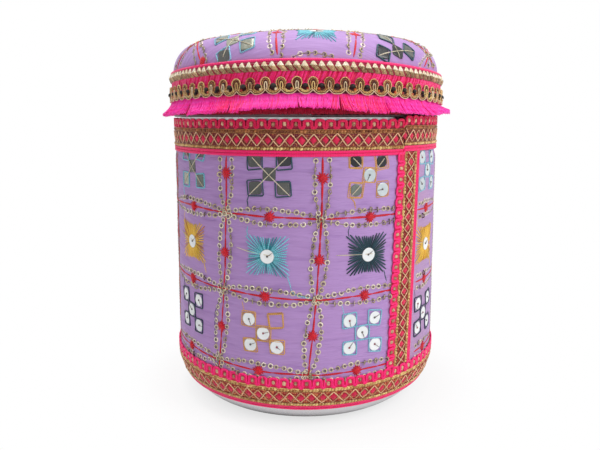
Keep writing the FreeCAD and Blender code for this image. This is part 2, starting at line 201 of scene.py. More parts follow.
class Piece:
    def __init__(self, name):
        self.name, self.total = name, 0
        self.points, self.corners, self.sizes, self.slots, self.uvs = [], [], [], [], []

    def add(self, points, faces, slot=0, uv=None):
        points, faces = np.asarray(points, float).reshape(-1, 3), np.asarray(faces, int)
        if uv is None:
            uv = np.zeros(faces.shape + (2,))
        self.points.append(points)
        self.corners.append((faces + self.total).ravel())
        self.sizes.append(np.full(len(faces), faces.shape[1]))
        self.slots.append(np.array(np.broadcast_to(slot, len(faces))))
        self.uvs.append(np.asarray(uv, float).reshape(-1, 2))
        self.total += len(points)

    # one grid of points or many alike, each joined round if asked; uv then has a row or a column more
    def grid(self, points, slot=0, uv=None, roundRows=False, roundColumns=False, flipped=False):
        rows, columns = points.shape[-3:-1]
        points = points.reshape(-1, rows, columns, 3)
        corners = cells(rows, columns, roundRows, roundColumns)
        if flipped:                     # the faces look the other way
            corners = corners[:1] + corners[:0:-1]
        faces = np.stack([i % rows * columns + j % columns for i, j in corners], -1)
        start = np.arange(len(points))[:, None, None] * rows * columns
        slots = np.broadcast_to(slot, (len(points), len(faces))).ravel()
        if uv is not None:
            uv = np.stack([uv[..., i, j, :] for i, j in corners], -2)
        self.add(points, (faces + start).reshape(-1, 4), slots, uv)

    # tubes along paths (k, n, 3) on a surface with these normals; twist is a cord's lay and its depth
    def tubes(self, paths, normals, width, height=None, sides=6, slot=0, lift=0.0, closed=False, twist=None):
        k, n = paths.shape[:2]
        ahead = np.roll(paths, -1, 1) - np.roll(paths, 1, 1) if closed else np.gradient(paths, axis=1)
        ahead = unit(ahead)
        side = unit(np.cross(ahead, normals))
        up = np.cross(side, ahead)
        width = np.broadcast_to(width, (k, n))
        height = width if height is None else np.broadcast_to(height, (k, n))
        stride = np.linalg.norm(np.roll(paths, -1, 1) - paths, axis=-1)
        along = np.concatenate([np.zeros((k, 1)), np.cumsum(stride, 1)], 1)
        share = np.arange(sides + 1) / sides
        turn = share[:-1] * twoPi
        bulge = 1.0
        if twist:
            bulge = 1 - twist[1] + twist[1] * np.abs(np.cos(turn + math.pi * along[:, :n, None] / twist[0]))
        middle = paths + up * (lift + height / 2)[..., None]
        ring = (side[:, :, None] * (np.cos(turn) * width[..., None] / 2 * bulge)[..., None]
                + up[:, :, None] * (np.sin(turn) * height[..., None] / 2 * bulge)[..., None])
        uv = paired(along[..., None], share)
        self.grid(middle[:, :, None] + ring, np.reshape(slot, (-1, 1)), uv, closed, True, True)
        if closed:
            return
        # a fan closes each end
        first, far = np.arange(-k, 0)[:, None] * n * sides + np.arange(sides), (n - 1) * sides
        after, tip = np.roll(first, -1, 1), np.arange(k)[:, None] + 0 * first
        fans = [np.stack([tip, first, after], -1), np.stack([tip + k, after + far, first + far], -1)]
        self.add(np.concatenate([middle[:, 0], middle[:, -1]]), np.concatenate(fans).reshape(-1, 3),
                 np.tile(np.repeat(np.broadcast_to(slot, k), sides), 2))

    # copies of one small shape at many places
    def stamp(self, template, places, across, normals, sizes=1.0, slot=0):
        shape, faces = template
        axes = np.stack([across, np.cross(normals, across), normals], 1)
        start = np.arange(len(places))[:, None, None] * len(shape)
        uv = np.broadcast_to(shape[faces][..., :2], (len(places),) + faces.shape + (2,))
        points = places[:, None] + np.reshape(sizes, (-1, 1, 1)) * (shape @ axes)
        slots = np.repeat(np.broadcast_to(slot, len(places)), len(faces))
        self.add(points, (faces + start).reshape(-1, 4), slots, uv)

    def finish(self, body, slot, finishes, replaces=()):
        mesh = bpy.data.meshes.new(self.name)
        corners, sizes = np.concatenate(self.corners), np.concatenate(self.sizes)
        mesh.vertices.add(self.total)
        mesh.vertices.foreach_set("co", (np.concatenate(self.points) * mm).ravel())
        mesh.loops.add(len(corners))
        mesh.loops.foreach_set("vertex_index", corners)
        mesh.polygons.add(len(sizes))
        mesh.polygons.foreach_set("loop_start", np.cumsum(sizes) - sizes)
        mesh.polygons.foreach_set("material_index", np.concatenate(self.slots))
        mesh.polygons.foreach_set("use_smooth", np.ones(len(sizes), bool))
        mesh.uv_layers.new(name="strand").data.foreach_set("uv", np.concatenate(self.uvs).ravel())
        for item in finishes:
            mesh.materials.append(item.material)
        mesh.update(calc_edges=True)
        mesh.validate()
        made = placed(self.name, mesh)
        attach(made, body)
        if replaces:
            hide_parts(*replaces)
        print("  %-18s %7d faces" % (self.name, len(sizes)))
        return made


# a small turned shape: a section of (radius, height) points, round or squarish
def turnedShape(section, segments=20, square=2.0, start=0.5):
    turn = (np.arange(segments) + start) / segments * twoPi
    c, s = np.cos(turn), np.sin(turn)
    reach = (np.abs(c) ** square + np.abs(s) ** square) ** (-1 / square)
    radius, height = np.array(section)[..., None].transpose(1, 0, 2)
    points = np.stack(np.broadcast_arrays(radius * reach * c, radius * reach * s, height), -1).reshape(-1, 3)
    corners = cells(len(section), segments, False, True)
    return points, np.stack([i * segments + j % segments for i, j in corners], -1)


# where the cloth lies: sizes are read from the frame

def low(node):
    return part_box(node)[0] * 1000


def high(node):
    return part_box(node)[1] * 1000


def halfway(node):
    return (low(node).z + high(node).z) / 2


body = {"radius": high("body_cover").x, "foot": low("body_cover").z, "hem": high("body_cover").z - 0.75,
        "datum": low("body_cover").z - 7.2,     # heights in the pattern are counted from here
        "steel": 76.2, "thick": 1.0, "seam": 43.0}
body["drawnIn"] = [(0, 4.6), (2.3, 3.2), (5.3, 1.9), (8.3, 0.9), (11.3, 0.3), (14.3, 0),
                   (132.6, 0), (136.4, 0.6)]
girth = twoPi * body["radius"]
perDegree = girth / 360
clothHalf = 0.25                        # half of the cloth's thickness

lid = {"radius": high("lid_cover").x, "apex": high("lid_cover").z, "hem": low("lid_cover").z,
       "spring": low("lid_pad").z + 0.5, "shoulder": 18.0}
lid["inset"] = lid["radius"] - lid["shoulder"]
crownRise, shoulder = lid["apex"] - lid["spring"], lid["shoulder"]
lid["crown"] = (lid["inset"] ** 2 + crownRise ** 2 - shoulder ** 2) / (2 * (crownRise - shoulder))
lid["edgeTilt"] = math.asin(lid["inset"] / (lid["crown"] - lid["shoulder"]))
lid["crownArc"] = lid["crown"] * lid["edgeTilt"]
lid["springArc"] = lid["crownArc"] + lid["shoulder"] * (math.pi / 2 - lid["edgeTilt"])
print("cloth radius %.2f, lid crown %.1f" % (body["radius"], lid["crown"]))

# the embroidered grid: each line's degrees from the front and its share of the lean, heights of the rows
grid = {"lines": [(-31.2, 1), (6.35, 1), (80.7, 0.35), (122.2, 0.7), (163.7, 1), (205.2, 1),
                  (246.7, 1), (288.6, 1)],
        "rows": [111.5, 69.1, 28.0], "pitch": 41.0, "lean": -5.0}
# how far each row stands above its front, by angle
grid["rise"] = [[(-180, 0.6), (-110, 2.1), (-55, 3.0), (6, 0), (30, 0.24), (180, 0.6)],
                [(-180, 1.5), (-110, 3.4), (-70, 4.3), (-47, 3.1), (-31, 2.4), (-13, 0.9), (6, 0), (25, 1.1),
                 (40, 1.3), (180, 1.5)],
                [(-180, 1.5), (-110, 3.0), (-55, 3.6), (-31, 2.1), (-13, 0.9), (6, 0), (25, 1.2), (40, 1.1),
                 (180, 1.5)]]


def leanAt(y):                          # the cloth was sewn a little askew
    return grid["lean"] * (np.clip(135 - y, 0, None) / 104) ** 1.7 * perDegree


def rowAt(row, x):
    return grid["rows"][row] + np.interp(wrapped(x / perDegree, 360), *np.array(grid["rise"][row]).T)


def lineAt(line, y):
    angle, share = grid["lines"][line]
    return angle * perDegree + share * leanAt(y)


waves = [(int(f), dice.uniform(0.2, 0.55), dice.uniform(0, twoPi), dice.uniform(0.4, 1))
         for f in dice.randint(2, 30, 26)]
# short level creases: place, height, half length, how far they stand up
creases = [(dice.uniform(-250, 250), dice.uniform(36, 132), dice.uniform(4, 9),
            dice.choice([-1, 1]) * dice.uniform(0.4, 1)) for _ in range(110)]
creases += [(-6, 92.8, 6, 1), (-5.6, 85.2, 5, -1), (5.2, 93.8, 5, 1), (6, 85.2, 6, -1), (7.6, 66, 8, 1),
            (-4, 52, 7, 1), (-5, 46.5, 6, -1)]
drape = {"wave": 0.1, "crease": 0.3, "stitched": 0.22, "stitchHalf": 2.6, "slope": 0.12,
         "tightAt": 33, "tightHalf": 7}


def settle(x, y):                       # drawn in by the stitched lines, faint creases between
    turn = x / body["radius"]
    wave = sum(a * np.sin(f * turn + k * y + p) for f, k, p, a in waves) / 13
    pull = sum(hump(wrapped(x - lineAt(k, y), girth), drape["stitchHalf"]) for k in range(len(grid["lines"])))
    pull = pull + sum(hump(y - rowAt(row, x), drape["stitchHalf"]) for row in range(3))
    fold = 0
    for cx, cy, half, height in creases:
        gap = wrapped(x - cx, girth)
        fold = fold + height * hump(gap, half) * hump(y - cy - gap * drape["slope"], 1.0)
    tight = hump(np.degrees(turn) - drape["tightAt"], drape["tightHalf"])
    return (drape["wave"] * wave * (0.6 + 1.4 * tight) + drape["crease"] * np.clip(fold, -1, 1)
            - drape["stitched"] * np.clip(pull, 0, 1))


def faceAt(z):                          # drawn in over the can's round foot and under the top band
    return body["radius"] - np.interp(z - body["foot"], *np.array(body["drawnIn"]).T)


# a ground gives the point, the way out and the way across at flat places on it

def ringGround(turn, height, radius):
    turn, height, radius = np.broadcast_arrays(turn, height, radius)
    out = np.stack([np.sin(turn), -np.cos(turn), 0 * turn], -1)
    across = np.stack([np.cos(turn), np.sin(turn), 0 * turn], -1)
    return out * radius[..., None] + np.stack([0 * turn, 0 * turn, height], -1), out, across


def onBody(x, y, lift=0.0):             # millimetres round the can from the front, and height
    z = y + body["datum"]
    return ringGround(x / body["radius"], z, faceAt(z) - clothHalf + settle(x, y) + lift)


def onLid(x, y, lift=0.0):              # the flat cloth laid over the crown, then the shoulder
    far = np.hypot(x, y) + 1e-9
    over = lid["edgeTilt"] + (far - lid["crownArc"]) / lid["shoulder"]
    tilt = np.where(far < lid["crownArc"], far / lid["crown"], over)
    crowned, tilt = tilt < lid["edgeTilt"], np.minimum(tilt, math.pi / 2)
    s, c = np.sin(tilt), np.cos(tilt)
    radius = np.where(crowned, lid["crown"] * s, lid["inset"] + lid["shoulder"] * s)
    height = np.where(crowned, lid["apex"] - lid["crown"] * (1 - c), lid["spring"] + lid["shoulder"] * c)
    height = height - np.clip(far - lid["springArc"], 0, None)
    wayX, wayY = x / far, y / far
    out = np.stack([wayX * s, wayY * s, c], -1)
    point = np.stack([wayX * radius, wayY * radius, height], -1) + out * (lift - clothHalf)
    return point, out, unit(np.array([1.0, 0, 0]) - out * out[..., :1])


# finishes; colours are red, green and blue as a screen shows them

def clothFinish(name, crease):
    f = Finish(name)
    flat, (along, rising) = f.flatPlace(), f.strand()
    weave = 0.42
    thread = (rising / weave).wave() * 0.6 + (along / weave).wave() * 0.4
    slub = f.noise(1.0, 3, flat, (0.06, 1.7, 1))
    soft = f.noise(1.0, 2, flat, (0.045, 0.26, 1))
    shade = f.mix(slub, (166, 128, 190), (190, 152, 210))
    shade = f.mix((f.noise(28, 3) - 0.35) * 0.8, shade, (178, 134, 198))
    shade = f.mix(thread * 0.16, shade, (216, 186, 228))
    shade = f.mix(f.fade(along, -395, -425) * 0.7, shade, (184, 150, 186))      # paler right of the seam
    # painted shade in the soft creases, from the same noise that bends the cloth
    shade = f.mix(f.fade(soft, 0.48, 0.28) * (0.3 * crease), shade, (136, 96, 166))
    relief = thread * 0.35 + slub * 0.9 + f.noise(1500, 1) * 0.25
    woven = f.bump(relief, 0.35, 0.00025, Normal=f.bump(soft, 0.9 * crease, 0.0018))
    return f.surface(colour=shade, rough=slub * 0.12 + 0.58, normal=woven, sheen=0.25, sheenRough=0.35,
                     sheenTint=hue(235, 215, 245), level=0.35)


def threadFinish(name, dark, light, pitch=0.9, rough=0.42, depth=0.5, sheen=0.2, paintedGlow=0.0):
    f = Finish(name)
    along, around = f.strand()
    ply, fibre = (along / pitch + around).wave(), f.noise(700)
    # the plies are painted lighter and the grooves between them darker: painted shade, with random fibre and
    # stitch tone
    shade = f.mix(ply * 0.45 + fibre * 0.45 + f.island() * 0.3 - 0.1, dark, light)
    # painted light: the threads glow a little so they look brighter
    return f.surface(colour=shade, rough=fibre * 0.15 + rough, glow=shade, glowLevel=paintedGlow, sheen=sheen,
                     sheenRough=0.4, normal=f.bump(ply * 0.7 + fibre * 0.5, depth, 0.0002), level=0.4)


def lurexFinish(name, dark, light, pitch, metal):       # metal-wrapped thread: random specks, the turns painted bright and the gaps between them painted dark as shade
    f = Finish(name)
    along, around = f.strand()
    ply, speck = (along / pitch + around * 2).wave(), f.noise(1400)
    shade = f.mix(speck * 1.5 + f.island() * 0.8 + ply * 0.5 - 0.95, dark, light)
    return f.surface(colour=shade, rough=speck * 0.22 + 0.28, metal=metal,
                     normal=f.bump(ply + speck * 0.8, 0.6, 0.0002))


def sequinFinish(name, dark, light, metal, rough, shadedEdge=None, coat=0.4):
    f = Finish(name)
    smear = f.noise(260, 3)
    shade = f.mix(f.island() * 0.7 + smear * 0.5 - 0.2, dark, light)
    if shadedEdge:                             # middle and half width of the bright part, and the painted shade colour beside it at the edges
        middle, half, beside = shadedEdge
        off = (f.measure("LENGTH", f.flatPlace()) - middle).size()
        shade = f.mix(f.fade(off, half * 0.7, half * 1.15), shade, beside)
    return f.surface(colour=shade, rough=smear * 0.12 + rough, metal=metal, coat=coat, coatRough=0.1,
                     normal=f.bump(smear, 0.15, 0.0003))


def steelFinish(name, dark, light, rough, edge, edgeShadeColour):
    f = Finish(name)
    draw, scratch = f.noise(1.0, 4, None, (30, 30, 2600)), f.noise(1.0, 2, None, (420, 420, 60))
    smear = f.noise(38, 4)
    facing = f.node("NewGeometry", out="Normal")
    satin = 1 - f.measure("DOT_PRODUCT", facing, f.place()).step(-0.02)     # the inner walls
    upward = f.part(facing, 2).step(0.2)
    paintedEdgeShade = f.fade(f.part(f.place(), 2), *edge) * (0.85 - upward * 0.85)  # painted shade along the lower edge, on the lid also a painted reflection of the fringe; not inside
    shade = f.mix(paintedEdgeShade, f.mix(smear * 0.7, dark, light), edgeShadeColour)
    wear = smear * 0.08 + draw * 0.06 + (scratch - 0.62) * 0.06
    return f.surface(colour=shade, metal=1 - satin * 0.45, rough=wear + rough + satin * 0.15,
                     normal=f.bump(draw + smear, 0.06, 0.0002))


bodyLilac, lidLilac = clothFinish("bodyLilac", 1.0), clothFinish("lidLilac", 0.4)
# the can's darker foot edge is painted shade; the lid's dark red lower edge is painted shade and a painted
# reflection of the fringe
canSteel = steelFinish("canSteel", (204, 202, 204), (226, 224, 226), 0.22, (0.0072, 0.0002), (70, 68, 70))
# the lid's steel is a darker copy of the can's steel: painted shade under the fringe
shadedLidSteel = steelFinish("shadedLidSteel", (150, 148, 150), (176, 174, 176), 0.3, (0.1716, 0.1696), (64, 34, 38))
red = threadFinish("redThread", (168, 0, 28), (232, 16, 42), 1.1, sheen=0.1, paintedGlow=0.03)
chainThread = threadFinish("chainThread", (74, 66, 66), (190, 170, 140), 0.8, 0.4)
print("cloth and thread finishes ready")

# camera at the photograph's height and tilt
view = {"place": (0, -0.3877, 0.16877), "tilt": 7.9, "lens": 36.83, "shiftX": -0.00883, "shiftY": -0.0417}
camera = placed("camera", bpy.data.cameras.new("camera"))
camera.location = view["place"]
camera.rotation_euler = (math.radians(90 - view["tilt"]), 0, 0)
camera.data.sensor_width, camera.data.lens = 36, view["lens"]
camera.data.shift_x, camera.data.shift_y = view["shiftX"], view["shiftY"]
camera.data.clip_start = 0.01
bpy.context.scene.camera = camera
bpy.context.scene.view_settings.view_transform = "Standard"

# soft studio light: each lamp's place, width and power
studio = {"world": 0.26, "aim": (0, 0, 0.1),
          "lamps": {"key": ((1.0, -0.66, 0.85), 0.8, 10.0), "fill": ((-0.7, -1.1, 0.5), 0.9, 0.1),
                    "top": ((-0.1, 0.0, 1.2), 0.7, 10.4)}}
for name, (place, size, power) in studio["lamps"].items():
    lamp = bpy.data.lights.new(name, "AREA")
    lamp.shape, lamp.size, lamp.energy = "DISK", size, power
    stand = placed(name, lamp)
    stand.location = place
    stand.rotation_euler = (Vector(studio["aim"]) - Vector(place)).to_track_quat("-Z", "Y").to_euler()

world = bpy.data.worlds.new("studio")
bpy.context.scene.world = world
air = Finish("studio", world)
strength = (air.ray("Camera") + air.ray("Glossy")) * (1 - studio["world"]) + studio["world"]
sky = air.node("Background", {}, {"Color": (1, 1, 1, 1), "Strength": strength})
air.node("OutputWorld", {}, {"Surface": sky})

# a white floor that keeps the shadow; it brightens away from the foot, in metres
stage = {"half": 4, "shade": (0.062, 0.08, 0.12)}
paleFloor = Finish("paleFloor")
away = paleFloor.measure("LENGTH", paleFloor.place())
start, middle, stop = stage["shade"]
close, far = paleFloor.fade(away, start, middle), paleFloor.fade(away, middle, stop)
white = (paleFloor.ray("Camera") * (close * 0.14 + far * 0.14 + 0.72)
         + paleFloor.ray("Glossy") * (close * 0.85 + 0.1))
paper = paleFloor.mix(paleFloor.noise(60) * 0.3, (248, 248, 249), (252, 252, 252))
matte = paleFloor.node("BsdfDiffuse", {}, {"Color": paper})
glow = paleFloor.node("Emission", {}, {"Color": (1, 1, 1, 1), "Strength": 1.0})
mixed = paleFloor.node("MixShader", {}, {0: white, 1: matte, 2: glow})
paleFloor.node("OutputMaterial", {}, {"Surface": mixed})
floorMesh = bpy.data.meshes.new("floor")
half = stage["half"]
floorEnds = [(-half, -half, 0), (half, -half, 0), (half, half, 0), (-half, half, 0)]
floorMesh.from_pydata(floorEnds, [], [(0, 1, 2, 3)])
floorMesh.materials.append(paleFloor.material)
floor = placed("floor", floorMesh)
print("camera, light and floor set")

for name, steel in (("canister", canSteel), ("lid_shell", shadedLidSteel)):
    nodes[name].data.materials.clear()
    nodes[name].data.materials.append(steel.material)

# padding and cloths; hems are (millimetres outside the steel, height from the hem)
bodyCut = {"columns": 640, "rows": 96, "gap": 0.4, "inset": 0.05,
           "hemLow": [(-1.25, 0.9), (-1.7, 0), (-1.2, -0.05)], "hemTop": [(3.0, 0), (0.1, 0), (0.1, -0.9)]}


def bodyCloth():                        # one length wrapped round the wadding, turned in at both hems
    piece = Piece("bodyCloth")
    start, stop = (body["seam"] - 360) * perDegree + bodyCut["gap"], body["seam"] * perDegree - bodyCut["gap"]
    x = np.linspace(start, stop, bodyCut["columns"])
    foot, hem = body["foot"] + bodyCut["inset"], body["hem"] - bodyCut["inset"]
    y = np.linspace(foot, hem, bodyCut["rows"]) - body["datum"]

    def turnedIn(places, edge):
        return [ringGround(x / body["radius"], edge + z, body["steel"] + r)[0][None] for r, z in places]
    outer = onBody(x[None], y[:, None], clothHalf)[0]
    points = turnedIn(bodyCut["hemLow"], body["foot"]) + [outer] + turnedIn(bodyCut["hemTop"], body["hem"])
    rise = np.concatenate([y[0] - [3, 2, 1], y, y[-1] + [1, 4, 5]])
    piece.grid(np.concatenate(points), 0, paired(x[None], rise[:, None]))
    made = piece.finish("base", "lilac_cloth", [bodyLilac], ["body_cover"])


def fan(count):                         # closes the hole in a ring of points; the first point is its middle
    k = np.arange(count)
    return np.stack([0 * k, 1 + k, 1 + (k + 1) % count], -1)


lidCut = {"around": 360, "crownRings": 74, "sideRings": 14, "tuck": 0.9}


def lidCloth():
    piece = Piece("lidCloth")
    side = np.linspace(1.5, lid["spring"] - lid["hem"], lidCut["sideRings"])
    far = np.concatenate([np.linspace(0.6, lid["springArc"], lidCut["crownRings"]), lid["springArc"] + side])
    turn = np.arange(lidCut["around"]) / lidCut["around"] * twoPi
    flat = far[:, None, None] * paired(np.sin(turn), -np.cos(turn))
    outer, out, across = onLid(flat[..., 0], flat[..., 1], clothHalf)
    flat = np.concatenate([flat, flat[-1:] * 1.01])
    flat = np.concatenate([flat, flat[:, :1]], 1)
    points = np.concatenate([outer, outer[-1:] - out[-1:] * lidCut["tuck"]])
    piece.grid(points[::-1], 0, flat[::-1], False, True)
    piece.add(np.concatenate([[[0, 0, lid["apex"]]], outer[0]]), fan(lidCut["around"]))
    made = piece.finish("lid", "lilac_cloth", [lidLilac], ["lid_cover"])


def waddingFinish():
    f = Finish("whiteWadding")
    tuft, fibre = f.noise(160, 3), f.noise(1500)
    return f.surface(colour=f.mix(tuft, (226, 224, 218), (246, 245, 241)), rough=0.95, sheen=0.3,
                     normal=f.bump(tuft + fibre * 0.5, 0.7, 0.0006))


wadding = waddingFinish()
padding = {"soft": 0.12, "around": 300, "high": 40, "room": 0.1, "padAround": 180,
           "padRings": 60, "padDown": 0.85}


def lumps(first, second):               # soft hollows in the padding
    return padding["soft"] * (0.5 + 0.5 * np.sin(first) * np.sin(second))


def bodyWadding():                      # wrapped once round the can, the ends butted under the seam
    piece = Piece("bodyWadding")
    inside, rows = body["steel"] + padding["room"], padding["high"]
    turn = np.radians(body["seam"]) + np.linspace(0.003, twoPi - 0.003, padding["around"])
    y = np.linspace(low("body_wadding").z, high("body_wadding").z, rows)[:, None]
    outer = faceAt(y) - body["thick"] - 0.03 - lumps(9 * turn + y * 0.31, 23 * turn - y * 0.17)
    outer[-1] -= 0.4
    outer = np.maximum(outer, inside + 0.05)
    radius = np.concatenate([outer, 0 * outer + inside]).T
    height = np.concatenate([y, y[::-1]]).T
    points = ringGround(turn[:, None], height, radius)[0]
    piece.grid(points, roundColumns=True)
    k = np.arange(rows - 1)
    cap = np.stack([k, k + 1, 2 * rows - 2 - k, 2 * rows - 1 - k], -1)
    piece.add(points[0], cap[:, ::-1])
    piece.add(points[-1], cap)
    made = piece.finish("base", "wadding", [wadding], ["body_wadding"])


def lidPad():                           # crowned, flat only where it lies on the lid
    piece = Piece("lidPad")
    bottom = low("lid_pad").z
    turn = np.arange(padding["padAround"]) / padding["padAround"] * twoPi
    far = np.linspace(1.0, lid["springArc"], padding["padRings"])[:, None]
    top = onLid(far * np.sin(turn), -far * np.cos(turn), -padding["padDown"])[0]
    top[..., 2] -= lumps(7 * turn + far * 0.2, 3 * turn - far * 0.13) * np.sin(far / far[-1] * math.pi)
    edge = top[-1:] * (1, 1, 0)
    under = [edge * share + (0, 0, bottom + up) for share, up in ((0.998, 0.05), (0.985, 0), (0.02, 0))]
    points = np.concatenate([top] + under)
    piece.grid(points[::-1], roundColumns=True)
    piece.add(np.concatenate([[[0, 0, top[0, 0, 2]]], points[0]]), fan(len(turn)))
    piece.add(np.concatenate([[[0, 0, bottom]], points[-1]]), fan(len(turn))[:, ::-1])
    made = piece.finish("lid", "wadding", [wadding], ["lid_pad"])


bodyWadding()
lidPad()
bodyCloth()
lidCloth()
print("padding and cloths laid")


# embroidery: threads are laid on a ground by their flat places in millimetres

def lay(piece, ground, paths, width, height=None, lift=0.0, sides=5, slot=0, closed=False, twist=None):
    points, out, across = ground(paths[..., 0], paths[..., 1])
    piece.tubes(points, out, width, height, sides, slot, lift, closed, twist)


def reachOf(path):                      # distances along a path
    return np.concatenate([[0], np.cumsum(np.linalg.norm(np.diff(path, axis=0), axis=1))])


def walk(path, places):                 # points at these distances along a path
    return np.stack([np.interp(places, reachOf(path), path[:, k]) for k in (0, 1)], -1)


def looseness(x):                       # the rings lie flat at both sides
    return 1 - 0.94 * np.exp(-((np.abs(wrapped(x / perDegree, 360)) - 76) / 16) ** 4)


couching = {"width": 1.12, "height": 0.65, "stitch": (8, 14), "wander": 0.28, "lap": 0.5, "points": 9}


def couchedLine(sewing, path):          # the red line: long stitches that meet a little out of line
    length, count = reachOf(path)[-1], couching["points"]
    share = np.sin(np.linspace(0.12, math.pi - 0.12, count)) ** 0.35
    at, drift = 0.0, 0.0
    while at < length - 2:
        stop = min(at + chance.uniform(*couching["stitch"]), length)
        first, last = max(at - couching["lap"], 0), min(stop + couching["lap"], length)
        points = walk(path, np.linspace(first, last, count))
        way = unit(points[-1] - points[0])
        after = waver(1) * couching["wander"]
        points = points + np.array([-way[1], way[0]]) * np.linspace(drift, after, count)[:, None]
        width = couching["width"] * share * chance.uniform(0.8, 1.1)
        lay(sewing.lines, sewing.ground, points[None], width, couching["height"] * share, 0.0, 6)
        at, drift = stop, after * 0.6


def rays(x, y, turn, far):              # straight stitches out of one hole
    return np.stack([x + np.cos(turn)[:, None] * far, y + np.sin(turn)[:, None] * far], -1)


star = {"rays": 13, "reach": 3.9, "width": 0.95, "dome": 1.0,
        "taper": np.array([1.0, 1.15, 1.1, 0.85, 0.55, 0.16]),
        "heap": np.array([1.0, 0.85, 0.5, 0.25, 0.1, 0.0])}


def starKnot(sewing, x, y, heap):       # satin stitches, heaped in the middle
    turn = np.arange(star["rays"]) / star["rays"] * twoPi + chance.uniform(0, 1)
    reach = star["reach"] * np.array([chance.uniform(0.8, 1.12) for _ in turn])
    width = star["width"] * star["taper"]
    paths = rays(x, y, turn, reach[:, None] * np.linspace(0, 1, len(width)))
    lift = star["dome"] * heap * star["heap"]
    lay(sewing.lines, sewing.ground, paths, width, width * (0.35 + 0.4 * heap), lift)


ringSequin = turnedShape([(0.8, 0), (0.82, 0.28), (0.98, 0.42), (1.22, 0.44), (1.42, 0.32), (1.54, 0)], 15)
ringEye = turnedShape([(0.001, 0.3), (0.4, 0.24), (0.72, 0.0)], 6)
chain = {"spacing": 3.7, "bow": 4.1, "thread": 0.5, "tilt": 0.12, "mostTilt": 0.28, "askew": (0.3, 2.4)}


def bowed(t):                           # both chains cross at each crossing and bow out between
    wave = np.sin(math.pi * t)
    return np.sign(wave) * np.abs(wave) ** 0.62 * chain["bow"]


def ringChain(sewing, path, dull, loose):
    length = reachOf(path)[-1]
    count = max(int(length / chain["spacing"]), 2)
    steps = (np.arange(count) + 0.5) / count * length + strays(0.45, count)
    spots = walk(path, steps) + strays(0.3, (count, 2))
    place, out, across = sewing.ground(spots[:, 0], spots[:, 1])
    tip = dice.normal(0, chain["tilt"], (count, 2)).clip(-chain["mostTilt"], chain["mostTilt"])
    kind = (dice.uniform(0, 1, count) < dull(spots[:, 0], spots[:, 1])).astype(int)
    # the dull ones stand askew
    tip[:, 0] += kind * dice.choice([-1, 1], count) * dice.uniform(*chain["askew"], count)
    free = loose(spots[:, 0])[:, None]
    tip *= free
    normal = unit(out + across * tip[:, :1] + np.cross(out, across) * tip[:, 1:])
    flat = unit(across - normal * (across * normal).sum(1, keepdims=True))
    lift = 0.3 * free - 0.2 + 0.75 * np.abs(tip[:, :1]) / np.hypot(tip[:, :1], 1)
    sewing.rings.stamp(ringSequin, place + out * lift, flat, normal, dice.uniform(0.86, 1.02, count), kind)
    sewing.rings.stamp(ringEye, place + out * 0.1, flat, out, 1.0, 2)
    t = np.array([0, 0.28, 0.5, 0.72, 1])[:, None]
    legs = spots[:-1, None] * (1 - t) + spots[1:, None] * t
    legs[:, 1:4] += strays(0.2, (count - 1, 1, 2))
    width, lift = chain["thread"], np.array([0.1, 0.2, 0.05, 0.2, 0.1])
    lay(sewing.ringThread, sewing.ground, legs, width, width * 0.7, lift)


discSequin = turnedShape([(0.42, 0.1), (0.46, 0.32), (0.9, 0.34), (1.9, 0.4), (2.8, 0.5), (3.2, 0.5),
                          (3.3, 0.38), (3.1, 0.16), (2.2, 0.08)], 32)
squareMirror = turnedShape([(0.001, 0.5), (1.5, 0.5), (2.75, 0.5), (3.05, 0.44), (3.2, 0.3),
                            (3.2, 0.0)], 32, 5.5)
roundMirror = turnedShape([(0.001, 0.5), (1.6, 0.5), (2.85, 0.5), (3.1, 0.44), (3.25, 0.3), (3.25, 0.0)], 32)
knot = turnedShape([(0.001, 0.75), (0.3, 0.68), (0.5, 0.45), (0.56, 0.2), (0.5, 0.0)], 10)
burst = {"rays": 46, "half": (11.5, 10.3), "inner": 3.0, "paintedShadeShare": 0.22, "height": 0.6}


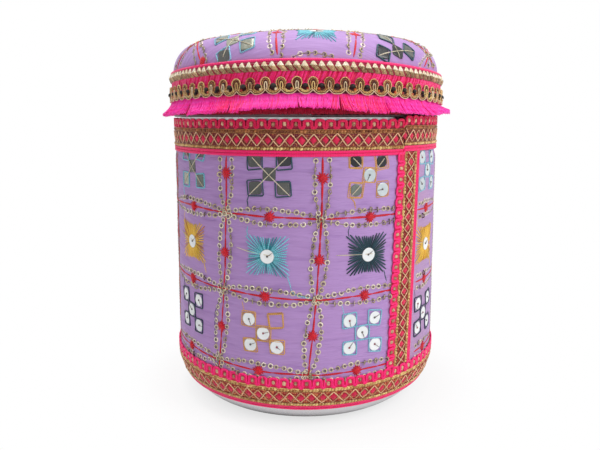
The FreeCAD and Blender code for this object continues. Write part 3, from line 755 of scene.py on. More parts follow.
class Sewing:                           # the pieces that one cloth's embroidery goes into
    def __init__(self, ground, body, name, edge=1000.0):
        self.ground, self.body, self.edge = ground, body, edge
        kinds = ("RedLines", "Rings", "RingThread", "Motifs", "Sequins", "Mirrors")
        pieces = [Piece(name + kind) for kind in kinds]
        self.lines, self.rings, self.ringThread, self.motifs, self.discs, self.mirrors = pieces

    def put(self, piece, template, x, y, turn=0.0, size=1.0, slot=0, lift=0.0):
        place, out, across = self.ground(np.array([x]), np.array([y]))
        aside = across * math.cos(turn) + np.cross(out, across) * math.sin(turn)
        piece.stamp(template, place + out * lift, aside, out, size, slot)

    def thread(self, points, slot, width=0.6, lift=0.0, height=None, count=12):
        points = np.array(points, float)
        path = walk(points, np.linspace(0, reachOf(points)[-1], count))
        inside = np.hypot(path[:, 0], path[:, 1]) < self.edge
        path, lift = path[inside], np.broadcast_to(lift, count)[inside]
        if len(path) < 4:
            return
        share = np.sin(np.linspace(0.15, math.pi - 0.15, len(path))) ** 0.25
        height = (height or width * 0.7) * share
        lay(self.motifs, self.ground, path[None], width * share, height, lift, 5, slot)

    def square(self, x, y, side, slot, width, turn, double):
        c, s = math.cos(turn), math.sin(turn)
        for inset in ((0, 0.66) if double else (0,)):
            half = side / 2 - inset
            spots = np.array([(x + (a * c - b * s) * half + waver(0.4),
                               y + (a * s + b * c) * half + waver(0.4))
                              for a, b in ((-1, -1), (1, -1), (1, 1), (-1, 1))])
            way = np.roll(spots, -1, 0) - spots
            path = (spots[:, None] + way[:, None] * np.linspace(0.06, 0.94, 6)[:, None]).reshape(1, -1, 2)
            lay(self.motifs, self.ground, path, width * (0.7 if double else 1), None, 0.0, 6, slot, True)

    def disc(self, x, y, slot=0, size=1.0, turn=None, dot=0, lift=0.0):
        self.put(self.discs, discSequin, x, y, 0, size * 1.07, slot, lift)
        self.put(self.discs, knot, x, y, 0, 1.0, 2 + dot, lift + 0.1)
        turn = chance.uniform(0, twoPi) if turn is None else turn
        end = (x + math.cos(turn) * 3.3 * size, y + math.sin(turn) * 3.3 * size)
        self.thread([(x, y), end], greyStitch, 0.36, lift + 0.5, 0.25, 6)

    def insert(self, kind, x, y, turn, side):       # what a square holds
        if kind in ("mirror", "pale", "dark"):
            slot = {"pale": 3, "dark": 2, "mirror": chance.choice((0, 0, 1))}[kind]
            x, y = x + waver(0.4), y + waver(0.4)
            self.put(self.mirrors, squareMirror, x, y, turn, chance.uniform(1.04, 1.12), slot)
        elif kind in ("black", "grey"):
            self.put(self.mirrors, roundMirror, x, y, turn, 1.0, 2 if kind == "black" else 1)
            slant = 3 * (side if kind == "black" else 1)
            self.thread([(x - slant, y - 3), (x, y), (x + slant, y + 3)], paleStitch, 0.55, 0.5, 0.35, 7)
        elif kind in ("disc", "pearl"):
            self.disc(x, y, int(kind == "pearl"), chance.uniform(0.97, 1.05), dot=chance.choice((0, 1)))
        else:                           # the sequin is gone; its thread is left
            self.thread([(x - 1.8, y - 1.6), (x - 0.3, y - 0.4), (x + 0.4, y + 0.5), (x + 2.6, y + 1.9)],
                        greyStitch, 0.3)
            self.thread([(x + 0.2, y - 0.8), (x + 1.6, y + 0.9), (x + 2.2, y + 0.4)], greyStitch, 0.28)

    def quincunx(self, x, y, colour, inserts, step=(7.6, 7.25), side=7.8, double=False, cross=False,
                 line=0.98):
        for (px, py), kind in zip(((-1, 1), (1, 1), (0, 0), (-1, -1), (1, -1)), inserts):
            cx, cy = x + px * step[0] + waver(0.4), y + py * step[1] + waver(0.4)
            turn = waver(0.12)
            if math.hypot(cx, cy) > self.edge:
                continue
            if not (cross and px == 0):
                self.square(cx, cy, side * chance.uniform(0.96, 1.06), colour, line, turn, double)
            self.insert(kind, cx, cy, turn, px)
        arms = ((-1, -1), (-1, 1), (1, -1), (1, 1)) if cross else ()
        for slant, end in arms:
            armX, armY = slant * end * (step[0] + side * 0.42), end * (step[1] + side * 0.42)
            path = [(x + armX, y + armY), (x + armX * 0.5, y + armY * 0.5), (x, y)]
            self.thread(path, paleStitch, 0.56, np.linspace(0.5, 0.56, 12), 0.4)

    def starburst(self, x, y, dark, light, half=burst["half"], thick=0.66):
        count, inner = burst["rays"], burst["inner"]
        turn = (np.arange(count) + strays(0.14, count)) / count * twoPi
        reach = np.minimum(half[0] / (np.abs(np.cos(turn)) + 1e-6), half[1] / (np.abs(np.sin(turn)) + 1e-6))
        reach = reach * (0.93 + 0.13 * np.abs(np.sin(2 * turn)) ** 3 + dice.uniform(-0.04, 0.03, count))
        begin = inner + dice.uniform(-0.2, 0.4, count)
        far = begin[:, None] + (reach - begin)[:, None] * np.linspace(0, 1, 8)
        width = np.interp(far, [2.8, 5, 8, 14], [0.42, 0.66, 0.92 * thick + 0.06, 1.02 * thick])
        width = width * np.array([0.9, 1, 1, 1, 1, 1, 0.95, 0.6])
        # some rays take the darker colour: painted shade
        slots = np.where(dice.uniform(0, 1, count) < burst["paintedShadeShare"], dark, light)
        lift = np.array([0.2, 0.35, 0.35, 0.32, 0.28, 0.2, 0.12, 0.0])
        lay(self.motifs, self.ground, rays(x, y, turn, far), width, burst["height"], lift, 5, slots)
        turn = (np.arange(count) + 0.5) / count * twoPi         # shorter stitches below, in the gaps, in the darker colour as painted shade between the rays
        far = inner + np.linspace(0, 1, 5) * dice.uniform(2.2, 4.0, (count, 1))
        width = np.array([0.5, 0.7, 0.8, 0.7, 0.4])
        lay(self.motifs, self.ground, rays(x, y, turn, far), width, 0.4, 0.0, 5, dark)
        self.disc(x + 0.2, y - 0.2, 0, 1.06, 0.6, lift=0.42)

    def done(self, sequins, mirrors):
        self.lines.finish(self.body, "pink_thread", [red])
        self.rings.finish(self.body, "sequin", [ringSilver, ringDull, eyeDark])
        self.ringThread.finish(self.body, "gold_lace", [chainThread])
        self.motifs.finish(self.body, "pink_thread", threadColours)
        self.discs.finish(self.body, "sequin", [discWhite, discPearl, knotGrey, knotRed], [sequins])
        glass = [mirrorDark, mirrorGrey, mirrorBlack, mirrorPale]
        self.mirrors.finish(self.body, "mirror_glass", glass, [mirrors])


# the deep colours are darker copies of their colours, used as painted shade in the starbursts
palette = {"turquoise": ((64, 160, 180), (150, 230, 242)), "deepTurquoise": ((16, 104, 122), (60, 164, 178)),
           "teal": ((16, 44, 58), (36, 82, 96)), "deepTeal": ((10, 30, 42), (26, 62, 76)),
           "gold": ((186, 124, 46), (238, 186, 104)), "yellow": ((232, 162, 32), (255, 224, 92)),
           "deepYellow": ((186, 108, 22), (232, 168, 52)), "lightBlue": ((96, 164, 190), (154, 212, 228)),
           "navy": ((12, 24, 52), (32, 52, 84)), "pale": ((168, 152, 120), (240, 230, 205)),
           "grey": ((96, 84, 92), (160, 148, 140))}
threadColours = [threadFinish(name, dark, light, 1.0, 0.38, 0.4) for name, (dark, light) in palette.items()]
colourOf = {name: k for k, name in enumerate(palette)}
paleStitch, greyStitch = colourOf["pale"], colourOf["grey"]
# the sequins' inner and outer edges are painted darker: painted shade
ringEdgeShade, discEdgeShade = (1.18, 0.31, (92, 74, 68)), (1.8, 1.5, (184, 194, 194))
ringSilver = sequinFinish("ringSilver", (198, 180, 144), (250, 240, 214), 0.2, 0.3, ringEdgeShade)
ringDull = sequinFinish("ringDull", (148, 130, 100), (216, 198, 160), 0.3, 0.35, ringEdgeShade)
eyeDark = threadFinish("eyeDark", (48, 36, 42), (108, 88, 100), 0.6)
discWhite = sequinFinish("discWhite", (232, 237, 238), (254, 255, 255), 0.1, 0.28, discEdgeShade)
discPearl = sequinFinish("discPearl", (176, 188, 194), (222, 230, 232), 0.2, 0.25)
knotGrey = threadFinish("knotGrey", (60, 56, 60), (130, 122, 118), 0.6)
knotRed = threadFinish("knotRed", (110, 40, 52), (170, 70, 84), 0.6)
# the mirror glass is given dark, grey, black and pale colours that stand for what it reflects: painted
# reflection
mirrorDark = sequinFinish("mirrorDark", (50, 54, 52), (96, 96, 92), 0.25, 0.2, coat=0.15)
mirrorGrey = sequinFinish("mirrorGrey", (70, 82, 76), (118, 124, 118), 0.3, 0.2, coat=0.15)
mirrorPale = sequinFinish("mirrorPale", (98, 104, 92), (172, 172, 156), 0.3, 0.2, coat=0.15)
mirrorBlack = sequinFinish("mirrorBlack", (14, 15, 19), (44, 44, 50), 0.15, 0.2, coat=0.15)

# the body: columns of motifs between the seam band's edges, as the photograph shows them, then round the back
seamEdge = {"left": 36.6, "right": 50.6, "leftSteps": (1.4, 0, -0.8)}
columnsAt = [-51.0, -13.6, 24.6, 59.0, 101.5, 143.0, 184.5, 226.0, 267.5]
firstRow = [("turquoise", "mirror"), ("teal", "mirror"), ("gold", "mixed"), ("lightBlue", "pearl"),
            ("teal", "mirror"), ("gold", "mirror"), ("turquoise", "mirror"), ("teal", "mirror"),
            ("lightBlue", "mirror")]
middleRow = ["yellow", "turquoise", "teal", "yellow", "turquoise", "yellow", "teal", "turquoise", "teal"]
lastRow = ["navy", "gold", "lightBlue", "navy", "turquoise", "gold", "lightBlue", "navy", "gold"]
# four columns as seen, and a fifth value for all behind; each motif sits a little off its column
rowHeights = [(136.1, 134.0, 133.3, 133.2, 132.6), (94.4, 92.0, 92.0, 91.2, 91.4),
              (53.6, 50.2, 49.6, 50.1, 50.2)]
rowShift = [(0, 0.4, 0, 1.5, 0), (0, 0.5, 0.8, 0, 0), (0, 1.2, 1.9, 0, 0)]
lineStars = [(132.5, 0.66), (90.3, 0.54), (49.7, 0.17)]     # height in front, share of the middle row's rise


def dullness(x, y):                     # the rings at the upper right are turned and tarnished
    right = np.clip(x / 60, -0.6, 1) * np.clip((y - 70) / 60, 0, 1)
    return np.clip(0.28 + 0.4 * right + 0.25 * np.clip((y - 95) / 40, 0, 1), 0.12, 0.9)


def columnAt(column, height):           # the two columns right of the seam hang straight
    return column * perDegree + (0 if 50 < column < 110 else leanAt(height))


def sewBody():
    s, datum = Sewing(onBody, "base", "body"), body["datum"]
    y = np.linspace(low("top_band_cord").z - 0.4 - datum, high("bottom_band_gimp").z - 0.8 - datum, 90)
    for line in range(len(grid["lines"])):
        x = lineAt(line, y)
        rows = [rowAt(k, x[0]) for k in (2, 1, 0)]
        t = np.interp(y, [rows[0] - grid["pitch"]] + rows + [rows[2] + grid["pitch"]], [3, 2, 1, 0, -1])
        couchedLine(s, paired(x, y))
        for sign in (-1, 1):
            ringChain(s, paired(x + sign * bowed(t), y), dullness, looseness)
        for height, share in lineStars:
            x = lineAt(line, height)
            starKnot(s, x, height + share * (rowAt(1, x) - grid["rows"][1]), looseness(x))
    start = (seamEdge["right"] - 360) * perDegree
    for row, (level, step) in enumerate(zip(grid["rows"], seamEdge["leftSteps"])):
        stop = (seamEdge["left"] + step) * perDegree
        x = np.linspace(start + 1, stop - 1, 420)
        y = rowAt(row, x)
        crossings = sorted(lineAt(k, level) - girth * (angle > body["seam"])
                           for k, (angle, share) in enumerate(grid["lines"]))
        crossings = [start - 12 * perDegree] + crossings + [stop + 7 * perDegree]
        t = np.interp(x, crossings, np.arange(len(crossings)))
        couchedLine(s, paired(x, y))
        for sign in (-1, 1):
            ringChain(s, paired(x, y + sign * bowed(t) * 0.95), dullness, looseness)
        for column in columnsAt:
            x = columnAt(column, level) + 1.0
            starKnot(s, x, rowAt(row, x), looseness(x))
    for k, column in enumerate(columnsAt):
        seen = min(k, 4)
        first, middle, last = (np.array([columnAt(column, height[seen]) + shift[seen], height[seen]])
                               for height, shift in zip(rowHeights, rowShift))
        name, kind = firstRow[k]
        inserts = ["black", "black", "pearl", "grey", "pearl"] if kind == "mixed" else [kind] * 5
        if k < 2:
            inserts[(3, 1)[k]] = ("pale", "dark")[k]
        s.quincunx(*first, colourOf[name], inserts, double=name == "gold", cross=kind == "mirror", line=0.76)
        dark, light = colourOf["deep" + middleRow[k].capitalize()], colourOf[middleRow[k]]
        s.starburst(*middle, dark, light, thick=0.95 if middleRow[k] == "teal" else 0.66)
        inserts = ["disc", "none" if k == 1 else "disc", "disc", "disc", "disc"]
        s.quincunx(*last, colourOf[lastRow[k]], inserts, double=lastRow[k] == "gold", line=0.84)
        # tails of thread to the chains
        aside, climb = (3.6, 0.5) if k == 2 else (0, 3.4)
        s.thread(first + [(-11.2, -10.6), (aside - 12.2, -13.5), (aside - 11.6, -17)], colourOf[name], 0.7)
        s.thread(middle + [(-10.6, 9.6), (-11.2, 12.5), (-10.4, 15.5)], light, 0.6)
        s.thread(middle + [(10.6, -9.8), (11.6, -13), (12.6, -16.5)], light, 0.65)
        if k == 1:                      # this one runs on along the chain to the crossing
            tail = [(12.5, -16.3), (13, -18.6), (15.4, -20.4), (20, -21.3), (25, -22)]
            s.thread(middle + tail, light, 0.55, 0.15, None, 16)
        tail, rise = [(-17.5, climb), (-10, climb * 0.5), (4.2, 0.1)], np.linspace(0.1, 0.75, 12)
        s.thread(middle + tail, paleStitch, 0.55, rise)
        s.thread(last + [(-10.6, 11), (-11.4, 14), (-12, 16.4)], colourOf[lastRow[k]], 0.55)
    tail = [(-49.4, 66.2), (-51.7, 61.2), (-53.3, 57.1), (-53.7, 50), (-53.7, 43), (-53, 38.5),
            (-52.3, 35.2)]
    s.thread(tail, colourOf["navy"], 0.62, 0.0, None, 24)
    s.thread([(-88.7, 72.0), (-86.3, 68.9), (-87.4, 62.5)], colourOf["navy"], 0.6)
    s.done("body_sequins", "body_mirrors")


sewBody()
print("body embroidered")


# the trims on the lid stand highest in front, sag to both sides and are a little loose at the right
droop = {"front": 1.8, "sides": 3.9, "right": 0.7, "loose": 1.1, "looseAt": 82, "looseHalf": 26}


def sag(turn):
    angle = wrapped(turn, twoPi)
    side = np.where(np.abs(angle) < math.pi / 2, np.sin(angle) ** 2, 1.0)
    return droop["front"] - (droop["sides"] + droop["right"] * np.sin(angle)) * side


def lidEdge(x, y):                      # how far out on the flat cloth the piping lies
    rest = np.clip(halfway("lid_piping") + sag(np.arctan2(x, -y)) - lid["spring"], 0, None)
    return lid["springArc"] - 1.0 - lid["shoulder"] * np.arcsin(rest / (lid["shoulder"] + 0.8))


# the lid: the same cloth turned a quarter
lidPattern = {"lineX": [-60.0, -14.9, 26.1, 72.0], "motifX": [-37.6, 5.6, 50.0], "rowY": -12.0,
              "rowPitch": 53.0, "peek": 4.2, "margin": 4.2, "step": (7.2, 7.4), "burst": (9.8, 10.6)}


def sewLid():
    s = Sewing(onLid, "lid", "lid", lid["springArc"] - lidPattern["margin"])
    lineX, motifX, pitch = lidPattern["lineX"], lidPattern["motifX"], lidPattern["rowPitch"]
    rowY = [lidPattern["rowY"] + k * pitch for k in (-1, 0, 1)]
    lineY = [-lidEdge(0.0, -1.0) - lidPattern["peek"]] + [y + pitch / 2 for y in rowY]
    dull, loose = lambda x, y: np.full(len(x), 0.55), lambda x: np.full(len(x), 0.25)
    for flip, lines, others, stars in ((False, lineX, lineY, rowY), (True, lineY, lineX, motifX)):
        more = [2 * others[0] - others[1]] + others + [2 * others[-1] - others[-2]]
        for at in lines:
            reach = math.sqrt(lid["springArc"] ** 2 - max(abs(at) - 6, 0) ** 2)
            v = np.linspace(-reach, reach, 90)
            t = np.interp(v, more, np.arange(len(more)))
            for sign in (-1, 0, 1):
                u = at + sign * bowed(t) * (1.7 if at == lineY[0] else 1)
                path = paired(v, u) if flip else paired(u, v)
                path = path[np.hypot(*path.T) < lidEdge(*path.T)]
                if len(path) < 8:
                    continue
                if sign:
                    ringChain(s, path, dull, loose)
                else:
                    couchedLine(s, path)
            for spot in stars:
                x, y = (spot, at) if flip else (at, spot)
                if math.hypot(x, y) < lidEdge(x, y):
                    starKnot(s, x * 0.985, y * 0.985, 0.3)
    left, middle, right = motifX
    paleCells = ["pale", "pale", "pale", "mirror", "pale"]
    darkCells = ["pale", "mirror", "dark", "dark", "mirror"]
    for y in rowY:
        s.starburst(middle, y, colourOf["deepTurquoise"], colourOf["turquoise"], lidPattern["burst"])
        s.quincunx(left, y, colourOf["lightBlue"], paleCells, lidPattern["step"], cross=True, line=0.78)
        s.quincunx(right, y, colourOf["teal"], darkCells, lidPattern["step"], cross=True)
    s.done("lid_sequins", "lid_mirrors")


sewLid()
print("lid embroidered")


# lace bands: a looped gimp, a gold lattice and two ribbed cords, made flat from the cord's edge upwards

lace = {"pitch": 5.845, "cordAt": (0.88, 2.52), "ropeAt": (4.15, 12.75), "ropeOff": 0.85, "latticeLow": 4.5,
        "latticeHigh": 12.3, "gimpLow": 14.25, "gimpHigh": 18.65, "beadPitch": 1.7, "loopTall": 5.15,
        "nest": 0.36, "cordTwist": (1.05, 0.24)}
# width and height of each thread
lace |= {"strand": (0.8, 0.85), "rope": (0.55, 0.5), "zigzag": (0.58, 0.5), "cord": (1.8, 1.0)}
laceSection = [(3.3, 0.02), (3.3, 0.4), (4.6, 0.48), (8.3, 0.5), (12.4, 0.48), (13.6, 0.4), (13.6, 0.02)]
loopShape = np.array([(-2.92, 0.0), (-2.35, 0.1), (-1.94, 0.75), (-1.86, 2.4), (-1.9, 4.2), (-1.5, 5.0),
                      (0.0, 5.15), (1.5, 5.0), (1.9, 4.2), (1.86, 2.4), (1.94, 0.75), (2.35, 0.1)])


def rounded(points, rounds=2, share=0.25):  # cut the corners of a run of points
    for _ in range(rounds):
        before, after = points[:-1], points[1:]
        step = (after - before) * share
        cut = np.stack([before + step, after - step], 1).reshape(-1, 2)
        points = np.concatenate([points[:1], cut, points[-1:]])
    return points


def beside(path, gap):                  # the same run a little to its left
    ahead = unit(np.gradient(path, axis=0))
    return path + np.stack([-ahead[:, 1], ahead[:, 0]], -1) * gap


def levelCord(piece, ground, length, steps, at, width, height, lift, sides, slot=0, closed=True, twist=None):
    run = paired(np.linspace(0, length, steps + 1), at)
    lay(piece, ground, run[None, :steps if closed else None], width, height, lift, sides, slot, closed, twist)


seedBead = turnedShape([(0.001, 0.85), (0.4, 0.76), (0.68, 0.45), (0.78, 0.0)], 8)
gimpBead = turnedShape([(0.001, 0.6), (0.5, 0.55), (0.8, 0.36), (0.92, 0.0)], 12, 3.0)
lozenge = turnedShape([(0.001, 0.6), (0.8, 0.5), (1.5, 0.26), (1.9, 0.0)], 12, 1.08, 0.0)
lozenge = (lozenge[0] * (1.0, 1.16, 1.0), lozenge[1])


def stampSlanted(piece, ground, template, spots, slant, stretch, sizes, slot, lift):
    place, out, across = ground(spots[:, 0], spots[:, 1])
    slant = np.broadcast_to(slant, len(spots))[:, None]
    aside = across * np.cos(slant) + np.cross(out, across) * np.sin(slant)
    shape = (template[0] * (stretch, 1.0, 1.0), template[1])
    piece.stamp(shape, place + out * lift, aside, out, sizes, slot)


def strip(piece, ground, length, count, section, slot):     # a flat tape; the section is (height, lift)
    heights, lifts = np.array(section).T[..., None]
    flat = paired(np.linspace(0, length, count), heights)
    points, out, across = ground(flat[..., 0], flat[..., 1])
    piece.grid(points + out * lifts[..., None], slot, flat)


def laceBand(name, ground, loops, closed, replaced, pinks, woven, foot=lace["gimpLow"], top=lace["gimpHigh"],
             bright=(0, 1)):
    pitch, lowest, highest = lace["pitch"], lace["latticeLow"], lace["latticeHigh"]
    length = loops * pitch
    gimp, lattice, cord = (Piece(name + part) for part in ("Gimp", "Lattice", "Cord"))
    # gimp: two strands run side by side through every loop, a gold bead in each
    tall = (top - foot) / lace["loopTall"]
    homes = paired(pitch * (np.arange(loops) + 0.5), foot)
    stray = paired(strays(0.22, loops), strays(0.2, loops))
    path = (loopShape * (1, tall) + (homes + stray)[:, None]).reshape(-1, 2)
    smooth = rounded(path if closed else path[1:])
    if closed:
        smooth[0] = smooth[-1] - (length, 0)
    for side, slot, rest in ((1, 0, 0.42), (-1, 1, 0.36)):
        lay(gimp, ground, beside(smooth, side * lace["nest"])[None], *lace["strand"], rest, 6, slot)
    section = [(foot - 0.5, 0.02), (foot - 0.5, 0.5), (foot + 1.2, 0.62), (top - 0.2, 0.5), (top - 0.2, 0.02)]
    strip(gimp, ground, length, loops * 3 + 1, section, 2)
    count = loops if closed else loops - 1
    spots = homes[:count] + (0, 2.6 * tall) + strays(0.15, (count, 2))
    slant = math.pi / 2 + strays(0.25, count)
    stampSlanted(gimp, ground, gimpBead, spots, slant, 1.3, dice.uniform(0.88, 1.08, count), 3, 0.6)
    # lattice: woven ground, two rows of slanted beads, opposite zigzags, a red lozenge in each mesh
    strip(lattice, ground, length, loops * 4 + 1, laceSection, 0)
    count = int(length / lace["beadPitch"])
    for row, at in enumerate(lace["ropeAt"]):
        spots = paired((np.arange(count) + 0.5) / count * length, at) + strays(0.12, (count, 2))
        slant, sizes = 0.5 + strays(0.2, count), dice.uniform(0.85, 1.12, count)
        stampSlanted(lattice, ground, seedBead, spots, slant, 1.35, sizes, 1 if row in bright else 2, 0.4)
        for off in (-lace["ropeOff"], lace["ropeOff"]):
            dull = woven is laceGround or off * (row - 0.5) < 0     # the cord on the inner side is darker gold; on the top band all are, as painted shade
            slot = 2 if dull else 1
            levelCord(lattice, ground, length, loops * 8, at + off, *lace["rope"], 0.36, 6, slot, closed)
    for phase in (0, 1):
        key = np.array([(k * pitch, lowest if (k + phase) % 2 else highest) for k in range(loops + 1)])
        key[:, 1] += strays(0.3, loops + 1)
        key[1:-1, 0] += strays(0.4, loops - 1)
        if closed:
            key[-1] = key[0] + (length, 0)
        run = rounded(rounded(key, 1, 0.1), 1, 0.3)
        weave = 0.62 + 0.3 * np.cos((run[:, 0] / pitch + phase) * math.pi)
        lay(lattice, ground, run[None], *lace["zigzag"], weave, 6, 3)
    spots = paired(pitch * np.arange(0 if closed else 1, loops), (lowest + highest) / 2)
    count = len(spots)
    spots = spots + strays(0.25, (count, 2))
    spots[:, 0] %= length
    slant = strays(0.12, count)
    stampSlanted(lattice, ground, lozenge, spots, slant, 1.0, dice.uniform(0.9, 1.08, count), 4, 0.44)
    for at in lace["cordAt"]:
        levelCord(cord, ground, length, loops * 32, at, *lace["cord"], 0.05, 8, 0, closed, lace["cordTwist"])
    gimp.finish("base", "pink_cord", pinks + [beadTan], replaced[:1])
    lattice.finish("base", "gold_lace", [woven, goldRope, goldDull, goldPale, lozengeRed], replaced[1:2])
    cord.finish("base", "pink_cord", [pinkCord], replaced[2:])


def laceGroundFinish(name, dark, light, share):     # gold and dark red threads woven close
    f = Finish(name)
    along, across = f.strand()
    rib, cross = (along / 0.98).wave(), (across / 1.3 + along * (0.8 / twoPi)).wave()
    speck = f.noise(800)
    tone = rib * 0.4 + cross * 0.3 + (speck - 0.5) * 3.2 + share
    return f.surface(colour=f.mix(tone, dark, light), rough=0.45, metal=tone * 0.3,
                     normal=f.bump(rib * 0.6 + cross * 0.5 + speck, 0.8, 0.0004))


hotPink = threadFinish("hotPink", (250, 4, 96), (255, 40, 142), 0.84, 0.4, 0.6, paintedGlow=0.1)
pinkCord = threadFinish("pinkCord", (232, 2, 82), (255, 28, 128), 0.84, 0.4, 0.6, paintedGlow=0.06)
deepPink = threadFinish("deepPink", (206, 2, 62), (246, 14, 98), 0.84, 0.42, 0.6)
tapePink = threadFinish("tapePink", (232, 4, 86), (255, 50, 146), 1.9, 0.34, 0.7, 0.3, 0.08)
crimsonTape = threadFinish("crimsonTape", (120, 0, 36), (184, 8, 66), 0.7, 0.5, 0.6)
lozengeRed = threadFinish("lozengeRed", (180, 0, 46), (240, 12, 86), 0.6, 0.4, 0.5, paintedGlow=0.03)
# one lattice ground in three brightnesses: darkest for the top band as painted shade under the lid, brightest
# for the foot band as painted light
laceGround = laceGroundFinish("laceGround", (116, 2, 20), (212, 126, 76), -0.4)
laceMid = laceGroundFinish("laceMid", (142, 6, 20), (224, 116, 72), -0.34)
laceBright = laceGroundFinish("laceBright", (162, 6, 30), (255, 172, 106), -0.15)
goldPale = lurexFinish("goldPale", (178, 114, 78), (255, 218, 172), 0.7, 0.2)
goldRope = lurexFinish("goldRope", (172, 108, 50), (255, 228, 152), 1.4, 0.15)
# goldDull is darker gold, also used as painted shade on the top band's ropes
goldDull = lurexFinish("goldDull", (94, 36, 26), (204, 142, 86), 1.4, 0.4)
beadTan = lurexFinish("beadTan", (146, 92, 64), (248, 218, 174), 0.7, 0.2)

bandTop = {"low": low("top_band_cord").z, "joint": 40.6, "step": 1.9, "over": 0.7, "overHalf": 9, "sunk": 0.7}
bandFoot = {"low": low("bottom_band_cord").z, "joint": 2.6}


def onTopBand(x, y):                    # the lace ends overlap near the seam, so it climbs round the can
    rest = bandTop["step"] * (1 - np.clip(x / girth, 0, 1)) ** 2.2
    turn = x / body["radius"] + math.radians(bandTop["joint"])
    off = wrapped(np.degrees(turn) - body["seam"], 360)
    over = bandTop["over"] * hump(off, bandTop["overHalf"])      # it rides over the seam band
    radius = body["radius"] + rest * 0.3 + over - bandTop["sunk"]
    return ringGround(turn, bandTop["low"] + y + rest * 0.9 - 0.2, radius)


def onFootBand(x, y):
    height = bandFoot["low"] + y
    point, out, across = ringGround(x / body["radius"] + bandFoot["joint"], height, faceAt(height))
    tip = np.arctan(faceAt(height + 0.5) - faceAt(height - 0.5))[..., None]
    return point, out * np.cos(tip) - np.array([0, 0, 1]) * np.sin(tip), across


seamRun = {"low": low("seam_band_gimp").z, "high": high("seam_band_gimp").z, "top": 44.4, "bottom": 40.4,
           "half": 9.5, "stretch": 1.016}


def onSeamBand(x, y):                   # upright, gimp to the left, a little out of plumb like the cloth
    x = x * seamRun["stretch"]
    share = x / (seamRun["high"] - seamRun["low"])
    centre = seamRun["bottom"] + (seamRun["top"] - seamRun["bottom"]) * share
    turn = np.radians(centre) + (seamRun["half"] - y) / body["radius"]
    point, out, across = ringGround(turn, seamRun["low"] + x, body["radius"])
    return point, out, np.broadcast_to(np.array([0.0, 0, 1]), out.shape)


# litPinks are the lit copies; the top band takes darker pinks and bright beads only on its lower rope row:
# painted shade under the lid
litPinks = [hotPink, pinkCord, deepPink]
laceBand("topBand", onTopBand, 86, True, ["top_band_gimp", "top_band_lattice", "top_band_cord"],
         [deepPink, deepPink, crimsonTape], laceGround, 14.55, 18.35, (0,))
laceBand("footBand", onFootBand, 86, True, ["bottom_band_gimp", "bottom_band_lattice", "bottom_band_cord"],
         litPinks, laceBright)
laceBand("seamBand", onSeamBand, 20, False, ["seam_band_gimp", "seam_band_lattice", "seam_band_cord"],
         litPinks, laceMid)
print("lace bands laid")


# lid trims, from the top: piping, gold braid, ribbed tape, loop braid, fringe

def onLidSide(radius):
    def ground(x, y):
        height = y + sag(x / radius)
        over = np.clip(height - lid["spring"], 0, None)
        loose = droop["loose"] * hump(np.degrees(x / radius) - droop["looseAt"], droop["looseHalf"])
        reach = radius + loose - lid["shoulder"] + np.sqrt(lid["shoulder"] ** 2 - over ** 2)
        return ringGround(x / radius, height, reach)
    return ground


piping = {"size": (1.7, 1.6), "steps": 2400, "twist": (1.1, 0.16)}


def lidPiping():
    piece, radius, at = Piece("lidPiping"), lid["radius"] + 0.02, halfway("lid_piping")
    levelCord(piece, onLidSide(radius), twoPi * radius, piping["steps"], at, *piping["size"], 0.0, 8,
              twist=piping["twist"])
    piece.finish("lid", "pink_cord", [pipingPink], ["lid_piping"])


pipingPink = threadFinish("pipingPink", (234, 8, 88), (255, 56, 138), 1.1, 0.42, 0.5, paintedGlow=0.06)
goldBraid = {"units": 126, "columns": 6}
# one unit from its foot up: height share, left and right edge in pitches, how far it stands out
goldBraid["rows"] = [(-0.03, 0.08, 0.88, 0.1), (0.0, 0.06, 0.88, 0.5), (0.2, -0.13, 0.75, 1.0),
                     (0.42, -0.4, 0.55, 1.42), (0.54, -0.53, 0.47, 1.5), (0.72, -0.43, 0.35, 1.2),
                     (0.94, -0.25, 0.17, 0.8), (1.06, -0.12, 0.04, 0.35)]


def lidGoldBraid():                     # folded ribbons: a facet looks up, another slants down; the upper is painted lit, the lower painted shade
    piece, units = Piece("lidGoldBraid"), goldBraid["units"]
    bottom, radius = low("lid_gold_braid").z, 0.02 - low("lid_tape").x
    tall, pitch = high("lid_gold_braid").z - bottom, twoPi * radius / units
    ground = onLidSide(radius)
    share, left, right, stand = np.array(goldBraid["rows"]).T[..., None]
    columns = np.linspace(0, 1, goldBraid["columns"])
    uneven = np.array([(waver(0.06), chance.uniform(0.94, 1.08), waver(0.08)) for _ in range(units)])
    aside, grow, fold = uneven.T[..., None, None]
    x = (left * grow + (right - left) * columns + aside + np.arange(units)[:, None, None]) * pitch
    y = bottom + tall * (share * (0.96 + 0.04 * grow) + fold * np.sin(math.pi * share))
    place, out, across = ground(x, y)
    bulge = 0.45 + 0.55 * np.sin(math.pi * (0.12 + 0.76 * columns))
    bulge[[0, -1]] = 0.2
    slots = np.repeat([1, 1, 1, 1, 0, 0, 0], len(columns) - 1)
    piece.grid(place + out * (stand * bulge)[..., None], slots, paired(columns * pitch + 0 * x, share * tall))
    levelCord(piece, ground, twoPi * radius, 720, bottom + tall * 0.5, tall * 0.92, 0.5, 0.02, 8, 2)
    piece.finish("lid", "gold_braid", [braidLit, braidShade, crimsonTape], ["lid_gold_braid"])


def foldFinish(name, dark, light, metal):   # metal threads lying side by side in a ribbon, the grooves between them painted darker as shade
    f = Finish(name)
    along, across = f.strand()
    reed, speck = (along / 0.86 + across * (1.2 / twoPi)).wave(), f.noise(1000)
    shade = f.mix(reed * 0.45 + speck * 1.5 + f.island() * 0.5 - 0.85, dark, light)
    return f.surface(colour=shade, rough=speck * 0.2 + 0.3, metal=metal,
                     normal=f.bump(reed + speck * 0.7, 0.6, 0.00025))


